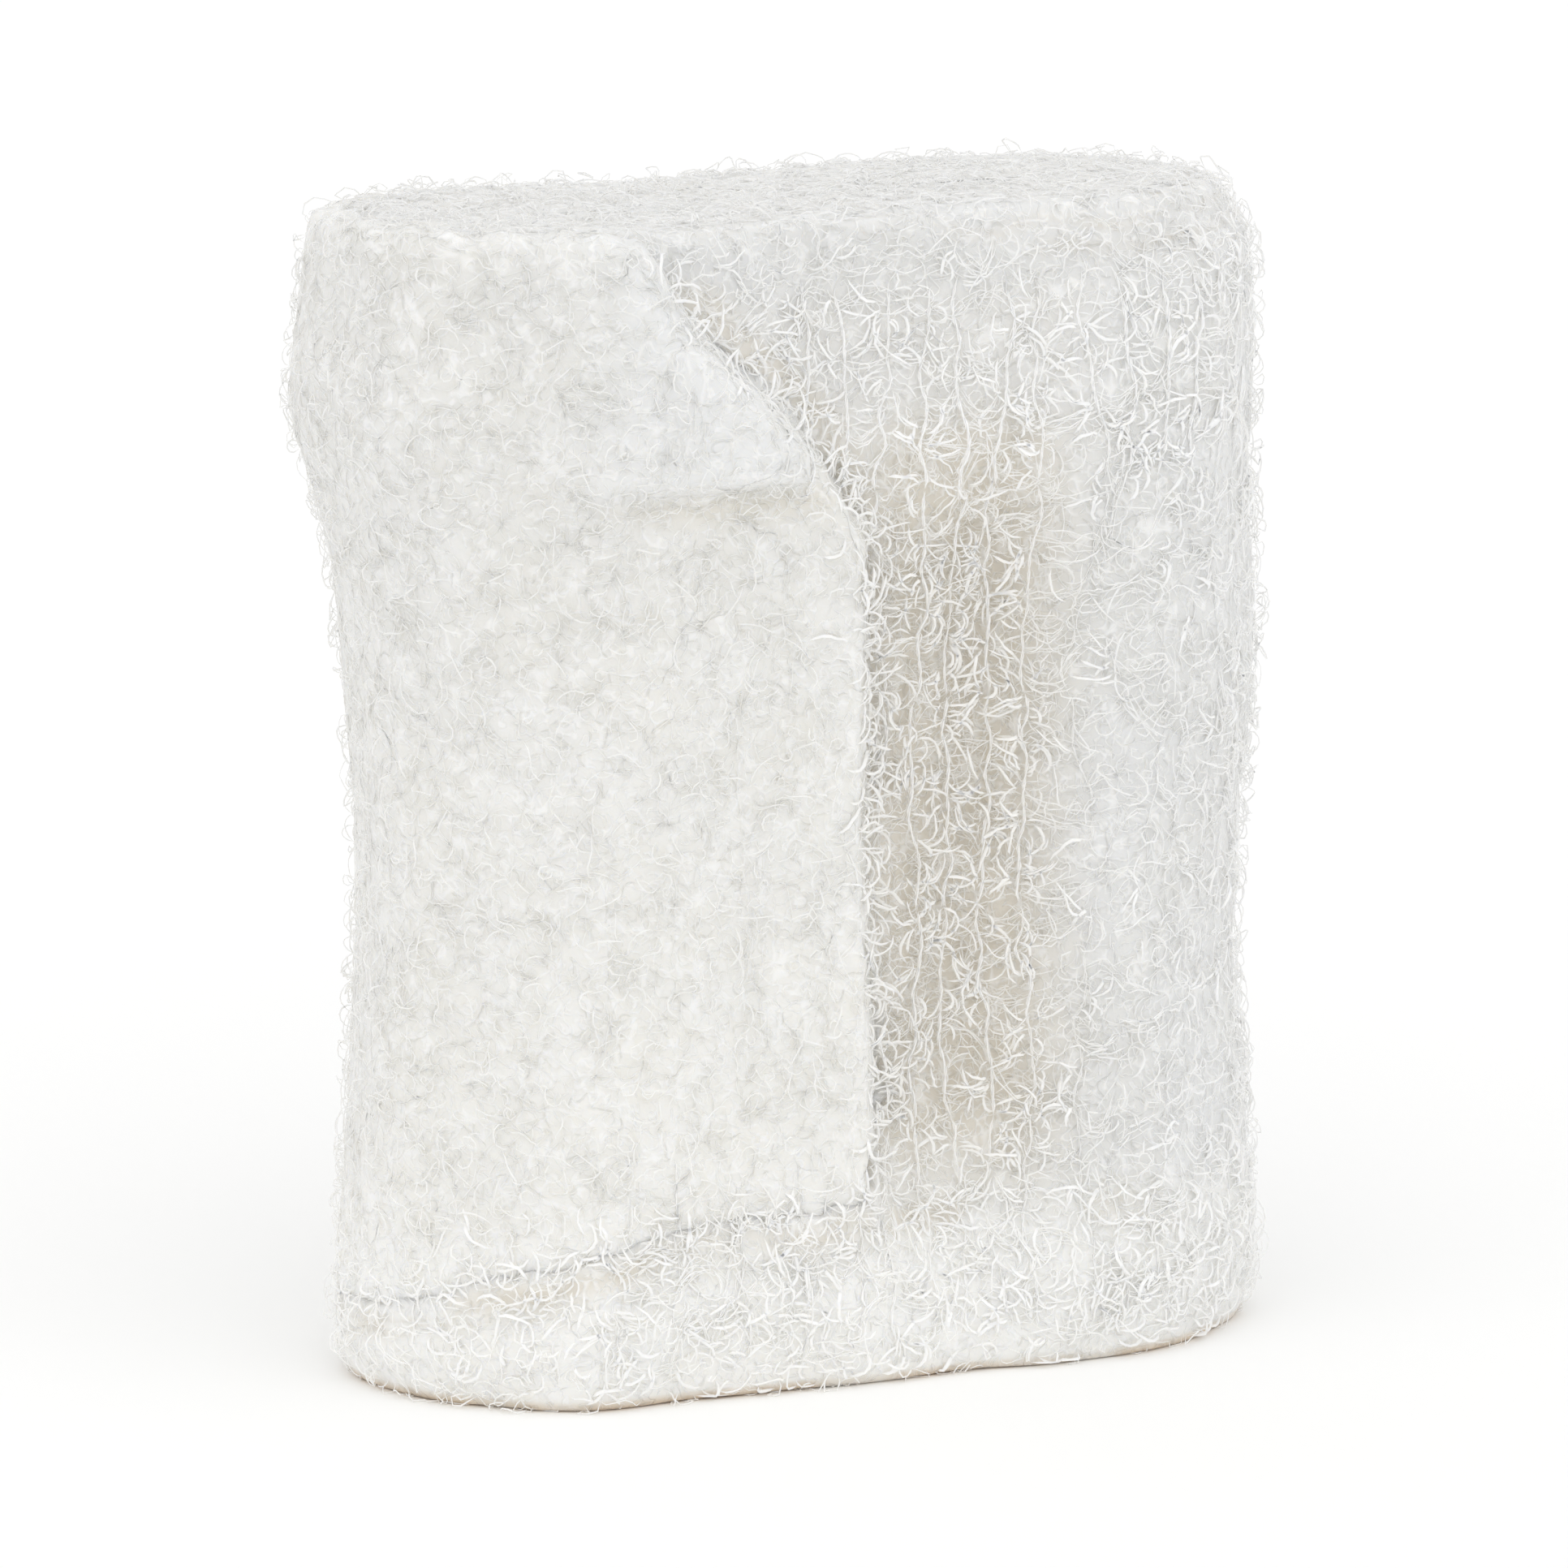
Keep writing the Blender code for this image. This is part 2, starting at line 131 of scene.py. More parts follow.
# The net of yarns on the roll
NET_LOW, NET_HIGH = 0.004, 0.1105
NET_RIGHT, NET_LEFT = (-0.046, -0.034), (0.03, 0.034)  # ways round where its open parts end
NET_UPPER, NET_TOP = (0.082, 0.09), (0.1035, 0.108)  # heights where the upper open part ends
NET_RIM, NET_RIM_SHARE = (0.015, 0.021), 0.5  # and the one on the puffed rim
YARN_FROM, YARN_TO = 0.031, ROOT - AROUND  # ways round between which the net lies
YARN_PITCH, YARN_STRAY = 0.004, 0.22
YARN_BENDS, BEND_WAVES = ((0.0009, 0.034), (0.0003, 0.0065)), 5  # how far it bends, over what length
YARN_LIFT, LIFT_LENGTH, YARN_SUNK, YARN_RAISED = 0.00014, 0.0035, 0.00004, 0.0004
YARN_STEP, YARN_POINTS = 0.0009, 24
YARN_SHOWN = 0.6  # a stretch is made if this share of it lies on the roll
YARN_RADIUS, YARN_HIDDEN, YARN_OPEN = 0.00012, 0.45, 0.55  # shares of the radius: always, in the open
YARN_TWIST, TWIST_START = 0.0032, (0, 6)  # length of one twist of the two strands
YARN_PLY = 0.9  # distance of a strand from the yarn's middle, in radii

# Curly threads across from yarn to yarn, in bundles
BUNDLE_PITCH, PITCH_OPEN, PITCH_HIDDEN = 0.003, 0.55, 1.2
BUNDLE_COUNT, BUNDLE_STEP, BUNDLE_MEAN = (1, 6), (0.00028, 0.0005), 0.0004
WEFT_RADIUS, WEFT_POINTS = 0.00007, 7
WEFT_SPAN = (-0.08, 1.08)  # from a little before one yarn to a little past the next
WEFT_STRETCH, WEFT_SHIFT = (0.75, 1.1), (-0.1, 0.15)
WEFT_SAG, WEFT_SAG_SPREAD, WEFT_OWN_SAG = -0.0002, 0.0011, 0.0003
WEFT_TILT, WEFT_WIGGLE, WEFT_BOW = 0.0012, 0.00016, (0.0, 0.0005)
WEFT_CLEAR, WEFT_LIFT, WEFT_RAISED = 0.00015, (0, 0.00025), (0.2, 1.1)
WEFT_TOP, WEFT_HEIGHTS = NET_HIGH - 0.001, (0.0012, HEIGHT - 0.003)

# The hollow in the roll beside the loose end's free edge
HOLLOW_MIDDLE, HOLLOW_HALF = -0.009, 0.015
HOLLOW_LOW, HOLLOW_HIGH = 0.014, 0.1
HOLLOW_FADE, HOLLOW_EASE = 0.012, (0.3, 1.0)  # up and down; sideways, in half widths
HOLLOW_LIFT = 0.0017  # how far the net stands off the bottom of the hollow

# Painted shade on the roll, a warm tan where shade falls: in the hollow, the open upper net, under the
# loose end's lower edge and beside its free edge, at the foot and in the fine grooves; and how much of it
UPPER_RIGHT, UPPER_TOP, UPPER_SHARE = (-0.028, -0.016), (0.104, 0.108), 0.28
RIM_GROOVE = 0.0155  # height of the rim's soft groove, to the right of the loose end
BLOTCHES, BLOTCH_LENGTH = (-0.5, 0.5), 0.012
UNDER_EDGE, UNDER_SHARE = 0.0015, 0.85
UNDER_RIGHT, UNDER_LEFT = (-0.03, -0.018), (0.06, 0.07)
FOOT_SHADE, FOOT_SHADE_SHARE = 0.0018, 0.8
BESIDE_FADE, BESIDE_START, BESIDE_SHARE = (0.002, 0.0065), (-0.003, 0.0), 0.75
BESIDE_LOW, BESIDE_HIGH = (0.016, 0.024), (0.106, 0.109)
GROOVE_SHARE = 0.6

# And on the loose end: painted shade, a warm tan, along its lower edge and under the turned corner; the
# corner's cooler white
LOW_BLOTCHES, LOW_BLOTCH_LENGTH, LOW_REACH, LOW_SHARE = (-0.4, 0.6), 0.011, 0.0022, 0.7
UNDER_FOLD, FOLD_WIDTH = 0.0867, 0.0016
FOLD_LEFT, FOLD_RIGHT = (0.018, 0.032), (0.003, 0.008)
CORNER_LOW, CORNER_LEFT, CORNER_RIGHT = (0.0865, 0.0885), (0.022, 0.036), (0.006, 0.01)

# How cotton shines, and how far light spreads inside it
CLOTH_LOOK = {
    "Roughness": 0.95, "Sheen Weight": 0.25, "Sheen Roughness": 0.6, "Specular IOR Level": 0.15,
    "Subsurface Weight": 0.75, "Subsurface Scale": 0.0014, "Subsurface Radius": (1.0, 0.95, 0.85),
}
THREAD_LOOK = {
    **CLOTH_LOOK, "Roughness": 0.9, "Sheen Weight": 0.7, "Sheen Roughness": 0.5,
    "Subsurface Weight": 0.8, "Subsurface Scale": 0.0003,
}
FLOOR_LOOK = {"Base Color": (0.97, 0.97, 0.965, 1.0), "Roughness": 0.9, "Specular IOR Level": 0.0}

# Painted light and shade over the roll: the puffed rim is painted whiter, the top and the right a little
# greyer
RIM_PAINTED_LIGHT, RIM_SHARE, RIM_FADE = (0.965, 0.958, 0.93, 1.0), 0.6, (0.013, 0.021)
PAINTED_SHADE_GREY, GREY_UPWARDS, GREY_SIDEWAYS = (0.93, 0.933, 0.939, 1.0), (0.02, 0.112), (0.002, 0.036)
# Painted brown contact shade along the foot, where the roll stands
FOOT_SHADE_BROWN, FOOT_SHARE, FOOT_FADE = (0.66, 0.5, 0.33, 1.0), 0.7, (0.0003, 0.0012)  # where it stands
# Painted shade on the threads down in the hollow
SHADE = (0.92, 0.91, 0.89, 1.0)  # threads down in the hollow, at these places
SHADE_MIDDLE, SHADE_ACROSS = 0.01, (0.006, 0.016)
SHADE_ABOVE, SHADE_BELOW = (0.076, 0.092), (0.014, 0.026)

# Fibres in the cloth's material, and thin painted shadows between them: scale, width, offset, and the
# value below which a line breaks off
PAINTED_SHADOW_LINES = ((330.0, 0.04, (1.3, 0.2, 4.1), 0.56), (520.0, 0.045, (7.1, 3.2, 0.4), 0.55))
LIGHT_HAIRS = (
    (300.0, 0.04, (9.4, 5.5, 1.3), 0.46), (410.0, 0.05, (2.9, 8.8, 5.7), 0.44),
    (560.0, 0.065, (4.4, 1.9, 9.3), 0.42), (800.0, 0.085, (8.2, 6.1, 2.2), 0.4),
)
BREAK_SCALE, BREAK_OFFSET, BREAK_FADE = 1.3, 31.7, 0.08
# Colour of the painted shadow lines, then the light fibres' colour and share
PAINTED_SHADOW_COLOUR, LIGHT_COLOUR, LIGHT_SHARE = (0.66, 0.645, 0.585, 1.0), (0.965, 0.963, 0.955, 1.0), 0.6
COOL_COLOUR, COOL_SHARE = (0.9, 0.91, 0.92, 1.0), 0.55
DRIFT_SCALE, DRIFT_DETAIL, DRIFT = 260.0, 2.0, 0.0022  # how the fibres are pulled about
CLOUDS = (85.0, 2.0, (3.0, 1.0, 2.0))  # scale, detail and offset of the warmer patches
CLOUD_WARM, CLOUD_BROWN = (0.4, 0.66), (0.35, 0.55)
FUZZ_SCALE, FUZZ_DETAIL, FUZZ_RANGE, FUZZ_SHARE, FUZZ_TONE = 2600.0, 3.0, (0.35, 0.7), 0.35, 0.96
DARK_DEPTH, FUZZ_HEIGHT = 1.2, 0.8  # in the relief, against the light fibres' height
PATCH_DETAIL, PATCH_RANGE = 3.0, (0.38, 0.64)

# All threads
THREAD_SPREAD, THREAD_SWELL, SWELL_WAVES = 0.3, 0.2, (0.5, 2)
FLOOR_CLEAR = 0.00012
NEARLY_UPRIGHT = 0.9

# Fluff, which lies thinner where the net is open
CURL_POINTS, CURL_WAVES, CURL_ARCH = 7, (0.4, 1.1), 0.8
CURLS_TRIED = 1.35  # for each one wanted, as some start where the other piece covers them
CURL_CLEAR = 0.8  # how far a curl's middle clears the cloth, in radii
COVER_START, COVER_REACH = 0.0001, 0.006
NET_SPARED = 0.8
NET_FLUFF_RIGHT, NET_FLUFF_UPPER = (-0.04, -0.02), 0.3
NET_FLUFF_LOW, NET_FLUFF_HIGH = (0.084, 0.09), (0.102, 0.106)
BOTTOM_FLUFF, TOP_LOOPS = 0.35, 0.6
# Parts of the normal that tell a side, the front, an end, a side or the top, and the outside
SIDE_SLOPE, FRONT_SLOPE, TOP_SLOPE, LOOP_SLOPE, OUTER_SLOPE = 0.75, 0.3, 0.6, 0.7, -0.2

# Hooks: short curly threads that stand out of the net and over the cut edges
HOOK_POINTS, HOOK_ARCH = 7, 0.7
HOOK_RADIUS, HOOK_SLIM = 0.00014, 1.3  # a smaller hook is thinner by this power of its size
HOOK_LENGTH = (0.002, 0.0046)
HOOK_TURN, HOOK_KINK = (0.4, 2.6), 0.15
HOOK_HEIGHTS = (0.0006, HEIGHT - 0.003)
HOOK_FALL, FRINGE_FALL = (0.6, 1.0), (0.1, 0.7)
NET_HOOKS, NET_HOOK_ARCH = 1900, (0.0002, 0.0008)
NET_FUZZ, NET_FUZZ_ARCH, NET_FUZZ_SIZE = 1300, (0.0001, 0.0006), 0.5
RIM_HOOKS, RIM_HOOK_ARCH = 420, (0.0002, 0.0009)
EDGE_HOOKS, FRINGE_ARCH = 850, (0.0001, 0.0007)
HOOKS_HIDDEN = 0.12  # share of the hooks that is kept where the net doesn't show
HOOKS_TOGETHER, HOOKS_APART = (1, 5), (0.0003, 0.0005)
BUNDLE_SPLAY, HOOK_SPLAY, FRINGE_SPLAY = 0.4, 0.2, 0.8
RIM_WAYS, RIM_HEIGHTS = (-0.04, 0.045), (0.0015, 0.0175)
EDGE_STEP = 0.0008  # grid on which the loose end's outline is looked for
EDGE_MARGIN, EDGE_STEEP, EDGE_MIDDLE = 0.002, 0.17, 0.3
EDGE_INSIDE = (0.0001, 0.0026)
BOTTOM_EDGE, BOTTOM_SLOPE = 0.022, -0.6  # the lower edge lies below this and faces down by more
BOTTOM_SHARE = 0.35  # of the hooks that other edges have


# ---- shapes

def unit(vectors):
    return vectors / np.maximum(np.linalg.norm(vectors, axis=-1, keepdims=True), 1e-12)


def rise(low, high, value):
    """0 below low, 1 above high, with a soft change between."""
    share = np.clip((value - low) / (high - low), 0.0, 1.0)
    return share * share * (3.0 - 2.0 * share)


def fall(low, high, value):
    return 1.0 - rise(low, high, value)


def between(start, end, value):
    """1 between the two ranges, over which it rises and falls."""
    return rise(*start, value) * fall(*end, value)


def wavy(points, sizes, rng, count=FIELD_WAVES):
    """A soft random field of about -1 to 1 over points, with waves of the given lengths."""
    directions = unit(rng.normal(size=(count, points.shape[-1])))
    directions *= 2 * math.pi / np.asarray(sizes) * rng.uniform(*FIELD_SPREAD, (count, 1))
    phases = rng.uniform(0, 2 * math.pi, count)
    return np.sin(points @ directions.T + phases).sum(axis=-1) / math.sqrt(count)


def section(ways):
    """Points of the section's middle line and outward directions at ways round."""
    arc = math.pi * ROUND
    run = np.mod(ways, AROUND)
    left, back, right = HALF_FLAT, HALF_FLAT + arc, 3 * HALF_FLAT + arc
    last = right + arc
    stretches = [run < left, run < back, run < right, run < last]
    x = np.select(
        stretches, [-run, -HALF_FLAT + 0 * run, run - back - HALF_FLAT, HALF_FLAT + 0 * run],
        HALF_FLAT - (run - last),
    )
    turn = np.select(
        stretches,
        [-math.pi / 2 + 0 * run, -math.pi / 2 - (run - left) / ROUND,
         math.pi / 2 + 0 * run, math.pi / 2 - (run - right) / ROUND],
        -math.pi / 2,
    )
    middle = np.stack([x + MIDDLE_X, np.full_like(x, MIDDLE_Y)], axis=-1)
    return middle, np.stack([np.cos(turn), np.sin(turn)], axis=-1)


def way_and_inset(points):
    """Way round and distance inside the plain section for each point."""
    x, y = points[:, 0] - MIDDLE_X, points[:, 1] - MIDDLE_Y
    nearest = np.clip(x, -HALF_FLAT, HALF_FLAT)
    inset = ROUND - np.hypot(x - nearest, y)
    turn = np.arctan2(y, x - nearest)
    arc = math.pi * ROUND
    way = np.where(y < 0, -x, HALF_FLAT + arc + x + HALF_FLAT)
    on_left = HALF_FLAT + np.mod(-math.pi / 2 - turn, 2 * math.pi) * ROUND
    on_right = 3 * HALF_FLAT + arc + np.mod(math.pi / 2 - turn, 2 * math.pi) * ROUND
    way = np.where(x < -HALF_FLAT, on_left, np.where(x > HALF_FLAT, on_right, way))
    return np.mod(way + AROUND / 2, AROUND) - AROUND / 2, inset


def place_of(points):
    """Way round and height of points, as columns."""
    return np.stack([way_and_inset(points)[0], points[:, 2]], axis=-1)


def hollow(ways, heights):
    """1 in the hollow beside the free edge, 0 away from it."""
    across = fall(*HOLLOW_EASE, np.abs(ways - HOLLOW_MIDDLE) / HOLLOW_HALF)
    upright = rise(HOLLOW_LOW, HOLLOW_LOW + HOLLOW_FADE, heights)
    return across * upright * fall(HOLLOW_HIGH - HOLLOW_FADE, HOLLOW_HIGH, heights)


def net_shows(ways, heights):
    """1 where the net lies open on the front, 0 where the fluff hides it."""
    front = between(NET_RIGHT, NET_LEFT, ways)
    rim = NET_RIM_SHARE * fall(*NET_RIM, heights)
    return np.maximum(hollow(ways, heights), front * np.maximum(between(NET_UPPER, NET_TOP, heights), rim))


def vectors_of(parts, name):
    """One vector of each of a mesh's parts, as rows."""
    values = np.empty(len(parts) * 3)
    parts.foreach_get(name, values)
    return values.reshape(-1, 3)


def add_object(name, data):
    piece = bpy.data.objects.new(name, data)
    bpy.context.scene.collection.objects.link(piece)
    return piece


def fine_copy(node, name):
    """A rounded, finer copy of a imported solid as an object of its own, with its points and normals."""
    cage = bmesh.new()
    cage.from_mesh(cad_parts[node].data)
    bmesh.ops.remove_doubles(cage, verts=cage.verts, dist=WELD)
    bmesh.ops.join_triangles(
        cage, faces=cage.faces, angle_face_threshold=QUAD_FLAT, angle_shape_threshold=QUAD_SHAPE,
    )
    mesh = bpy.data.meshes.new(name + "_cage")
    cage.to_mesh(mesh)
    cage.free()
    piece = add_object(name, mesh)
    rounding = piece.modifiers.new("rounding", "SUBSURF")
    rounding.levels = rounding.render_levels = COPY_LEVELS
    graph = bpy.context.evaluated_depsgraph_get()
    fine = bpy.data.meshes.new_from_object(piece.evaluated_get(graph))
    piece.modifiers.clear()
    piece.data = fine
    fine.name = name
    fine.materials.clear()
    fine.shade_smooth()
    return piece, vectors_of(fine.vertices, "co"), vectors_of(fine.vertex_normals, "vector")


def set_points(mesh, points):
    mesh.vertices.foreach_set("co", points.ravel())
    mesh.update()


def paint(mesh, name, values):
    """Keeps one value a vertex, which the material reads by name."""
    layer = mesh.attributes.new(name, "FLOAT", "POINT")
    layer.data.foreach_set("value", np.asarray(values, dtype=np.float32))


def lumps(points, ways, rng):
    """Soft lumps of fluffed cloth, as a height over each point."""
    place = np.stack([ways, points[:, 2], points[:, 1]], axis=-1)
    return sum(height * wavy(place / (around, up, around), 1.0, rng) for height, around, up in LUMPS)


def highest_around(places, heights, at):
    """Height of the highest ground around each place, evened out."""
    corner = np.minimum(places.min(axis=0), at.min(axis=0)) - FILL_MARGIN * FILL_CELL
    reach = np.maximum(places.max(axis=0), at.max(axis=0)) - corner
    ground = np.full((reach / FILL_CELL).astype(int) + 2 * FILL_MARGIN, heights.min())
    spots = ((places - corner) / FILL_CELL).astype(int)
    np.maximum.at(ground, (spots[:, 0], spots[:, 1]), heights)
    for _ in range(FILL_SPREAD):
        for axis in (0, 1):
            ground = np.maximum.reduce([ground, np.roll(ground, 1, axis), np.roll(ground, -1, axis)])
    for _ in range(FILL_EASE):
        ground = evened(ground)
    spot = (at - corner) / FILL_CELL - 0.5
    first, second = spot.astype(int).T
    along, across = (spot - spot.astype(int)).T
    low = ground[first, second] * (1 - across) + ground[first, second + 1] * across
    high = ground[first + 1, second] * (1 - across) + ground[first + 1, second + 1] * across
    return low * (1 - along) + high * along


def evened(grid):
    """A grid in which each value has moved towards its neighbours'."""
    for axis in (0, 1):
        grid = (np.roll(grid, 1, axis) + 2 * grid + np.roll(grid, -1, axis)) / 4
    return grid


def extent(places, values, at):
    """Least value, and greatest one above 0, in the column of places around each of the given ones."""
    first = places.min()
    column = ((places - first) / EXTENT_STEP).astype(int)
    low, high = np.full(column.max() + 1, HEIGHT), np.zeros(column.max() + 1)
    np.minimum.at(low, column, values)
    np.maximum.at(high, column, values)
    middles = first + EXTENT_STEP * (np.arange(len(low)) + 0.5)
    return np.interp(at, middles, low), np.interp(at, middles, high)


# ---- two cloths

def dress_roll(rng, sheet_points):
    """The wound roll: soft lumps on its side and fine turns of gauze in its ends."""
    piece, points, normals = fine_copy("gauze_roll", "roll_cloth")
    ways, inset = way_and_inset(points)
    outward = section(ways)[1]
    points[:, :2] -= outward * FLUFF_ROOM
    bank_up(points, ways, inset + FLUFF_ROOM, sheet_points)
    fill_top(points, inset, sheet_points)
    on_end = rise(*END_SLOPE, np.abs(normals[:, 2]))
    turns = FINE_TURNS * (inset / TURN - (ways - ROOT) / AROUND)
    wander = GROOVE_WANDER * wavy(points / WANDER_LENGTH, 1.0, rng)
    groove = np.abs(2.0 * np.mod(turns + wander, 1.0) - 1.0) ** GROOVE_SHARPNESS
    depth = FINE_GROOVE * (DEPTH_EVEN + DEPTH_UNEVEN * wavy(points / DEPTH_LENGTH, 1.0, rng))
    sink = on_end * groove * depth * rise(*GROOVE_INSETS, inset)
    side = (1.0 - on_end) * rise(0.0, LUMPS_FROM, points[:, 2])
    foot = np.clip(1.0 - points[:, 2] / FOOT_ROUND, 0.0, 1.0)
    fill = FOOT_FILL * FOOT_ROUND * (1.0 - np.sqrt(1.0 - foot ** 2)) * fall(*FOOT_INSETS, inset)
    points[:, :2] += outward * fill[:, None]
    points += normals * (side * lumps(points, ways, rng))[:, None]
    points[:, 2] -= np.sign(normals[:, 2]) * sink
    points[:, 2] = np.maximum(points[:, 2], 0.0)
    set_points(piece.data, points)
    paint_roll(piece.data, points, ways, on_end * groove, sheet_points, rng)
    return piece


def bank_up(points, ways, inset, sheet_points):
    """Fluffs the roll up against the loose end's lower edge and root, so that no slit is left there."""
    sheet_ways, sheet_inset = way_and_inset(sheet_points)
    low, _ = extent(sheet_ways, sheet_points[:, 2], ways)
    heights = points[:, 2]
    to_root = sheet_ways.max() - ways
    over = np.where(to_root < BANK_REACH, np.minimum(to_root, heights - low), heights - low)
    share = NOTCH_FILL * fall(*BANK_ABOVE, over) * rise(*BANK_WAYS, ways)
    share = share * fall(0.0, BANK_REACH, -to_root) * rise(*BANK_BELOW, over)
    followed = (sheet_points[:, 2] < BANK_FOLLOWS) | (sheet_ways > sheet_ways.max() - 2 * BANK_REACH)
    outer = (sheet_inset < OUTER_SIDE) & followed
    places = place_of(sheet_points)[outer]
    outside = highest_around(places, -sheet_inset[outer], np.stack([ways, heights], -1))
    share = share * (inset < BANK_DEPTH) * rise(0.0, BANK_REACH, heights) * fall(*BANK_TOP, heights)
    points[:, :2] += section(ways)[1] * (share * np.maximum(outside + inset, 0.0))[:, None]


def fill_top(points, inset, sheet_points):
    """Fluff in the grooves between the turns of the roll's top."""
    everything = np.concatenate([points, sheet_points])
    upper = everything[everything[:, 2] > HEIGHT / 2]
    top = highest_around(upper[:, :2], upper[:, 2], points[:, :2])
    on_top = rise(*TOP_HEIGHTS, points[:, 2]) * rise(*TOP_INSETS, inset)
    points[:, 2] += TOP_FILL * on_top * np.maximum(top - points[:, 2], 0.0)


def paint_roll(mesh, points, ways, in_groove, sheet_points, rng):
    """Painted shade, a warm tan, where shade falls on the roll; and the cooler white of its upper front.
    """
    heights, front = points[:, 2], points[:, 1] < 0
    upper_front = rise(*NET_UPPER, heights) * rise(*UPPER_RIGHT, ways) * fall(*UPPER_TOP, heights) * front
    low, _ = extent(*place_of(sheet_points).T, ways)
    edge = np.where(ways > 0.0, low, RIM_GROOVE)
    blotches = rise(*BLOTCHES, wavy(points / BLOTCH_LENGTH, 1.0, rng))
    under_edge = np.exp(-((heights - edge) / UNDER_EDGE) ** 2) * blotches
    under_edge *= between(UNDER_RIGHT, UNDER_LEFT, ways)
    first_way, _ = extent(sheet_points[:, 2], way_and_inset(sheet_points)[0], heights)
    off_edge = first_way - ways
    beside_edge = BESIDE_SHARE * fall(*BESIDE_FADE, off_edge) * rise(*BESIDE_START, off_edge)
    beside_edge *= between(BESIDE_LOW, BESIDE_HIGH, heights)
    # Painted shade: a warm tan where shade falls in the hollow, the upper net, under and beside the loose
    # end's edges, at the foot and in the grooves
    painted_shade = np.maximum.reduce([
        hollow(ways, heights) * front, UPPER_SHARE * upper_front, UNDER_SHARE * under_edge,
        FOOT_SHADE_SHARE * fall(0.0, FOOT_SHADE, heights), beside_edge, GROOVE_SHARE * in_groove,
    ])
    paint(mesh, "painted_shade", painted_shade)
    paint(mesh, "cool", upper_front)


def dress_sheet(rng):
    """The loose end: soft lumps, and cut edges that are pressed and frayed onto the roll."""
    piece, points, normals = fine_copy("loose_end", "loose_end_cloth")
    ways, inset = way_and_inset(points)
    outward = section(ways)[1]
    to_free = ways - ways.min()
    low, high = extent(ways, points[:, 2], ways)
    over, under = points[:, 2] - low, high - points[:, 2]
    near = fall(0.0, EDGE_REACH, np.minimum.reduce([to_free, over, under]))
    fray = EDGE_FRAY * near * wavy(points / FRAY_LENGTH, 1.0, rng)
    points += normals * (lumps(points, ways, rng) + fray)[:, None]
    cloth_inside = np.maximum(highest_around(place_of(points), inset, place_of(points)) - inset, 0.0)
    past_slant = rise(*SLANT_END, ways)
    at_slant = fall(0.0, FEATHER, SLANT_SHARE * under) * (1.0 - past_slant)
    feather = np.maximum(fall(0.0, FEATHER, to_free), at_slant)
    press = EDGE_PRESS * feather + feather * np.maximum(cloth_inside - FEATHER_REST, 0.0)
    points[:, :2] -= outward * (press + FLUFF_ROOM)[:, None]
    points[:, 2] -= EDGE_DROP * fall(0.0, EDGE_REACH, over)
    raised = EDGE_RAISE + past_slant * (np.maximum(TOP_LEVEL - high, 0.0) - EDGE_RAISE)
    points[:, 2] += raised * fall(0.0, EDGE_REACH, under)
    lean = past_slant * fall(0.0, EDGE_REACH, under) * fall(*LEAN_FADE, cloth_inside)
    points[:, :2] -= outward * (TOP_LEAN * lean)[:, None]
    points[:, 0] += ROOT_CLOSE * rise(*ROOT_WAYS, ways)
    ragged = EDGE_RAGGED * near * wavy(points / RAGGED_LENGTH, 1.0, rng)
    at_end = fall(*RAGGED_WAYS, ways)
    at_top = past_slant * fall(0.0, 2 * EDGE_REACH, under)
    points[:, 0] += ragged * at_end
    points[:, 2] += ragged * (1.0 - at_end) * (1.0 - RAGGED_SPARED * at_top)
    round_corner(points, to_free, over)
    set_points(piece.data, points)
    paint_sheet(piece.data, points, ways, over, rng)
    return piece


def round_corner(points, to_free, over):
    """Squeezes the square lower corner of the free edge into a round one."""
    from_middle = np.stack([to_free, over], axis=-1) - CORNER_ROUND
    in_corner = (from_middle < 0).all(axis=1)
    squeeze = np.abs(from_middle).max(axis=1) / np.maximum(np.hypot(*from_middle.T), 1e-9) - 1.0
    points[:, 0] -= np.where(in_corner, from_middle[:, 0] * squeeze, 0.0)
    points[:, 2] += np.where(in_corner, from_middle[:, 1] * squeeze, 0.0)


def paint_sheet(mesh, points, ways, over, rng):
    """Painted shade, a warm tan, along the loose end's lower edge and under the turned corner, which is a
    cooler white.
    """
    heights = points[:, 2]
    blotches = rise(*LOW_BLOTCHES, wavy(points / LOW_BLOTCH_LENGTH, 1.0, rng))
    under_fold = np.exp(-((heights - UNDER_FOLD) / FOLD_WIDTH) ** 2)
    under_fold *= fall(*FOLD_LEFT, ways) * rise(*FOLD_RIGHT, ways)
    turned = rise(*CORNER_LOW, heights) * fall(*CORNER_LEFT, ways) * rise(*CORNER_RIGHT, ways)
    # Painted shade along the lower edge and under the turned corner
    paint(mesh, "painted_shade", np.maximum(LOW_SHARE * blotches * fall(0.0, LOW_REACH, over), under_fold))
    paint(mesh, "cool", turned)


# ---- threads

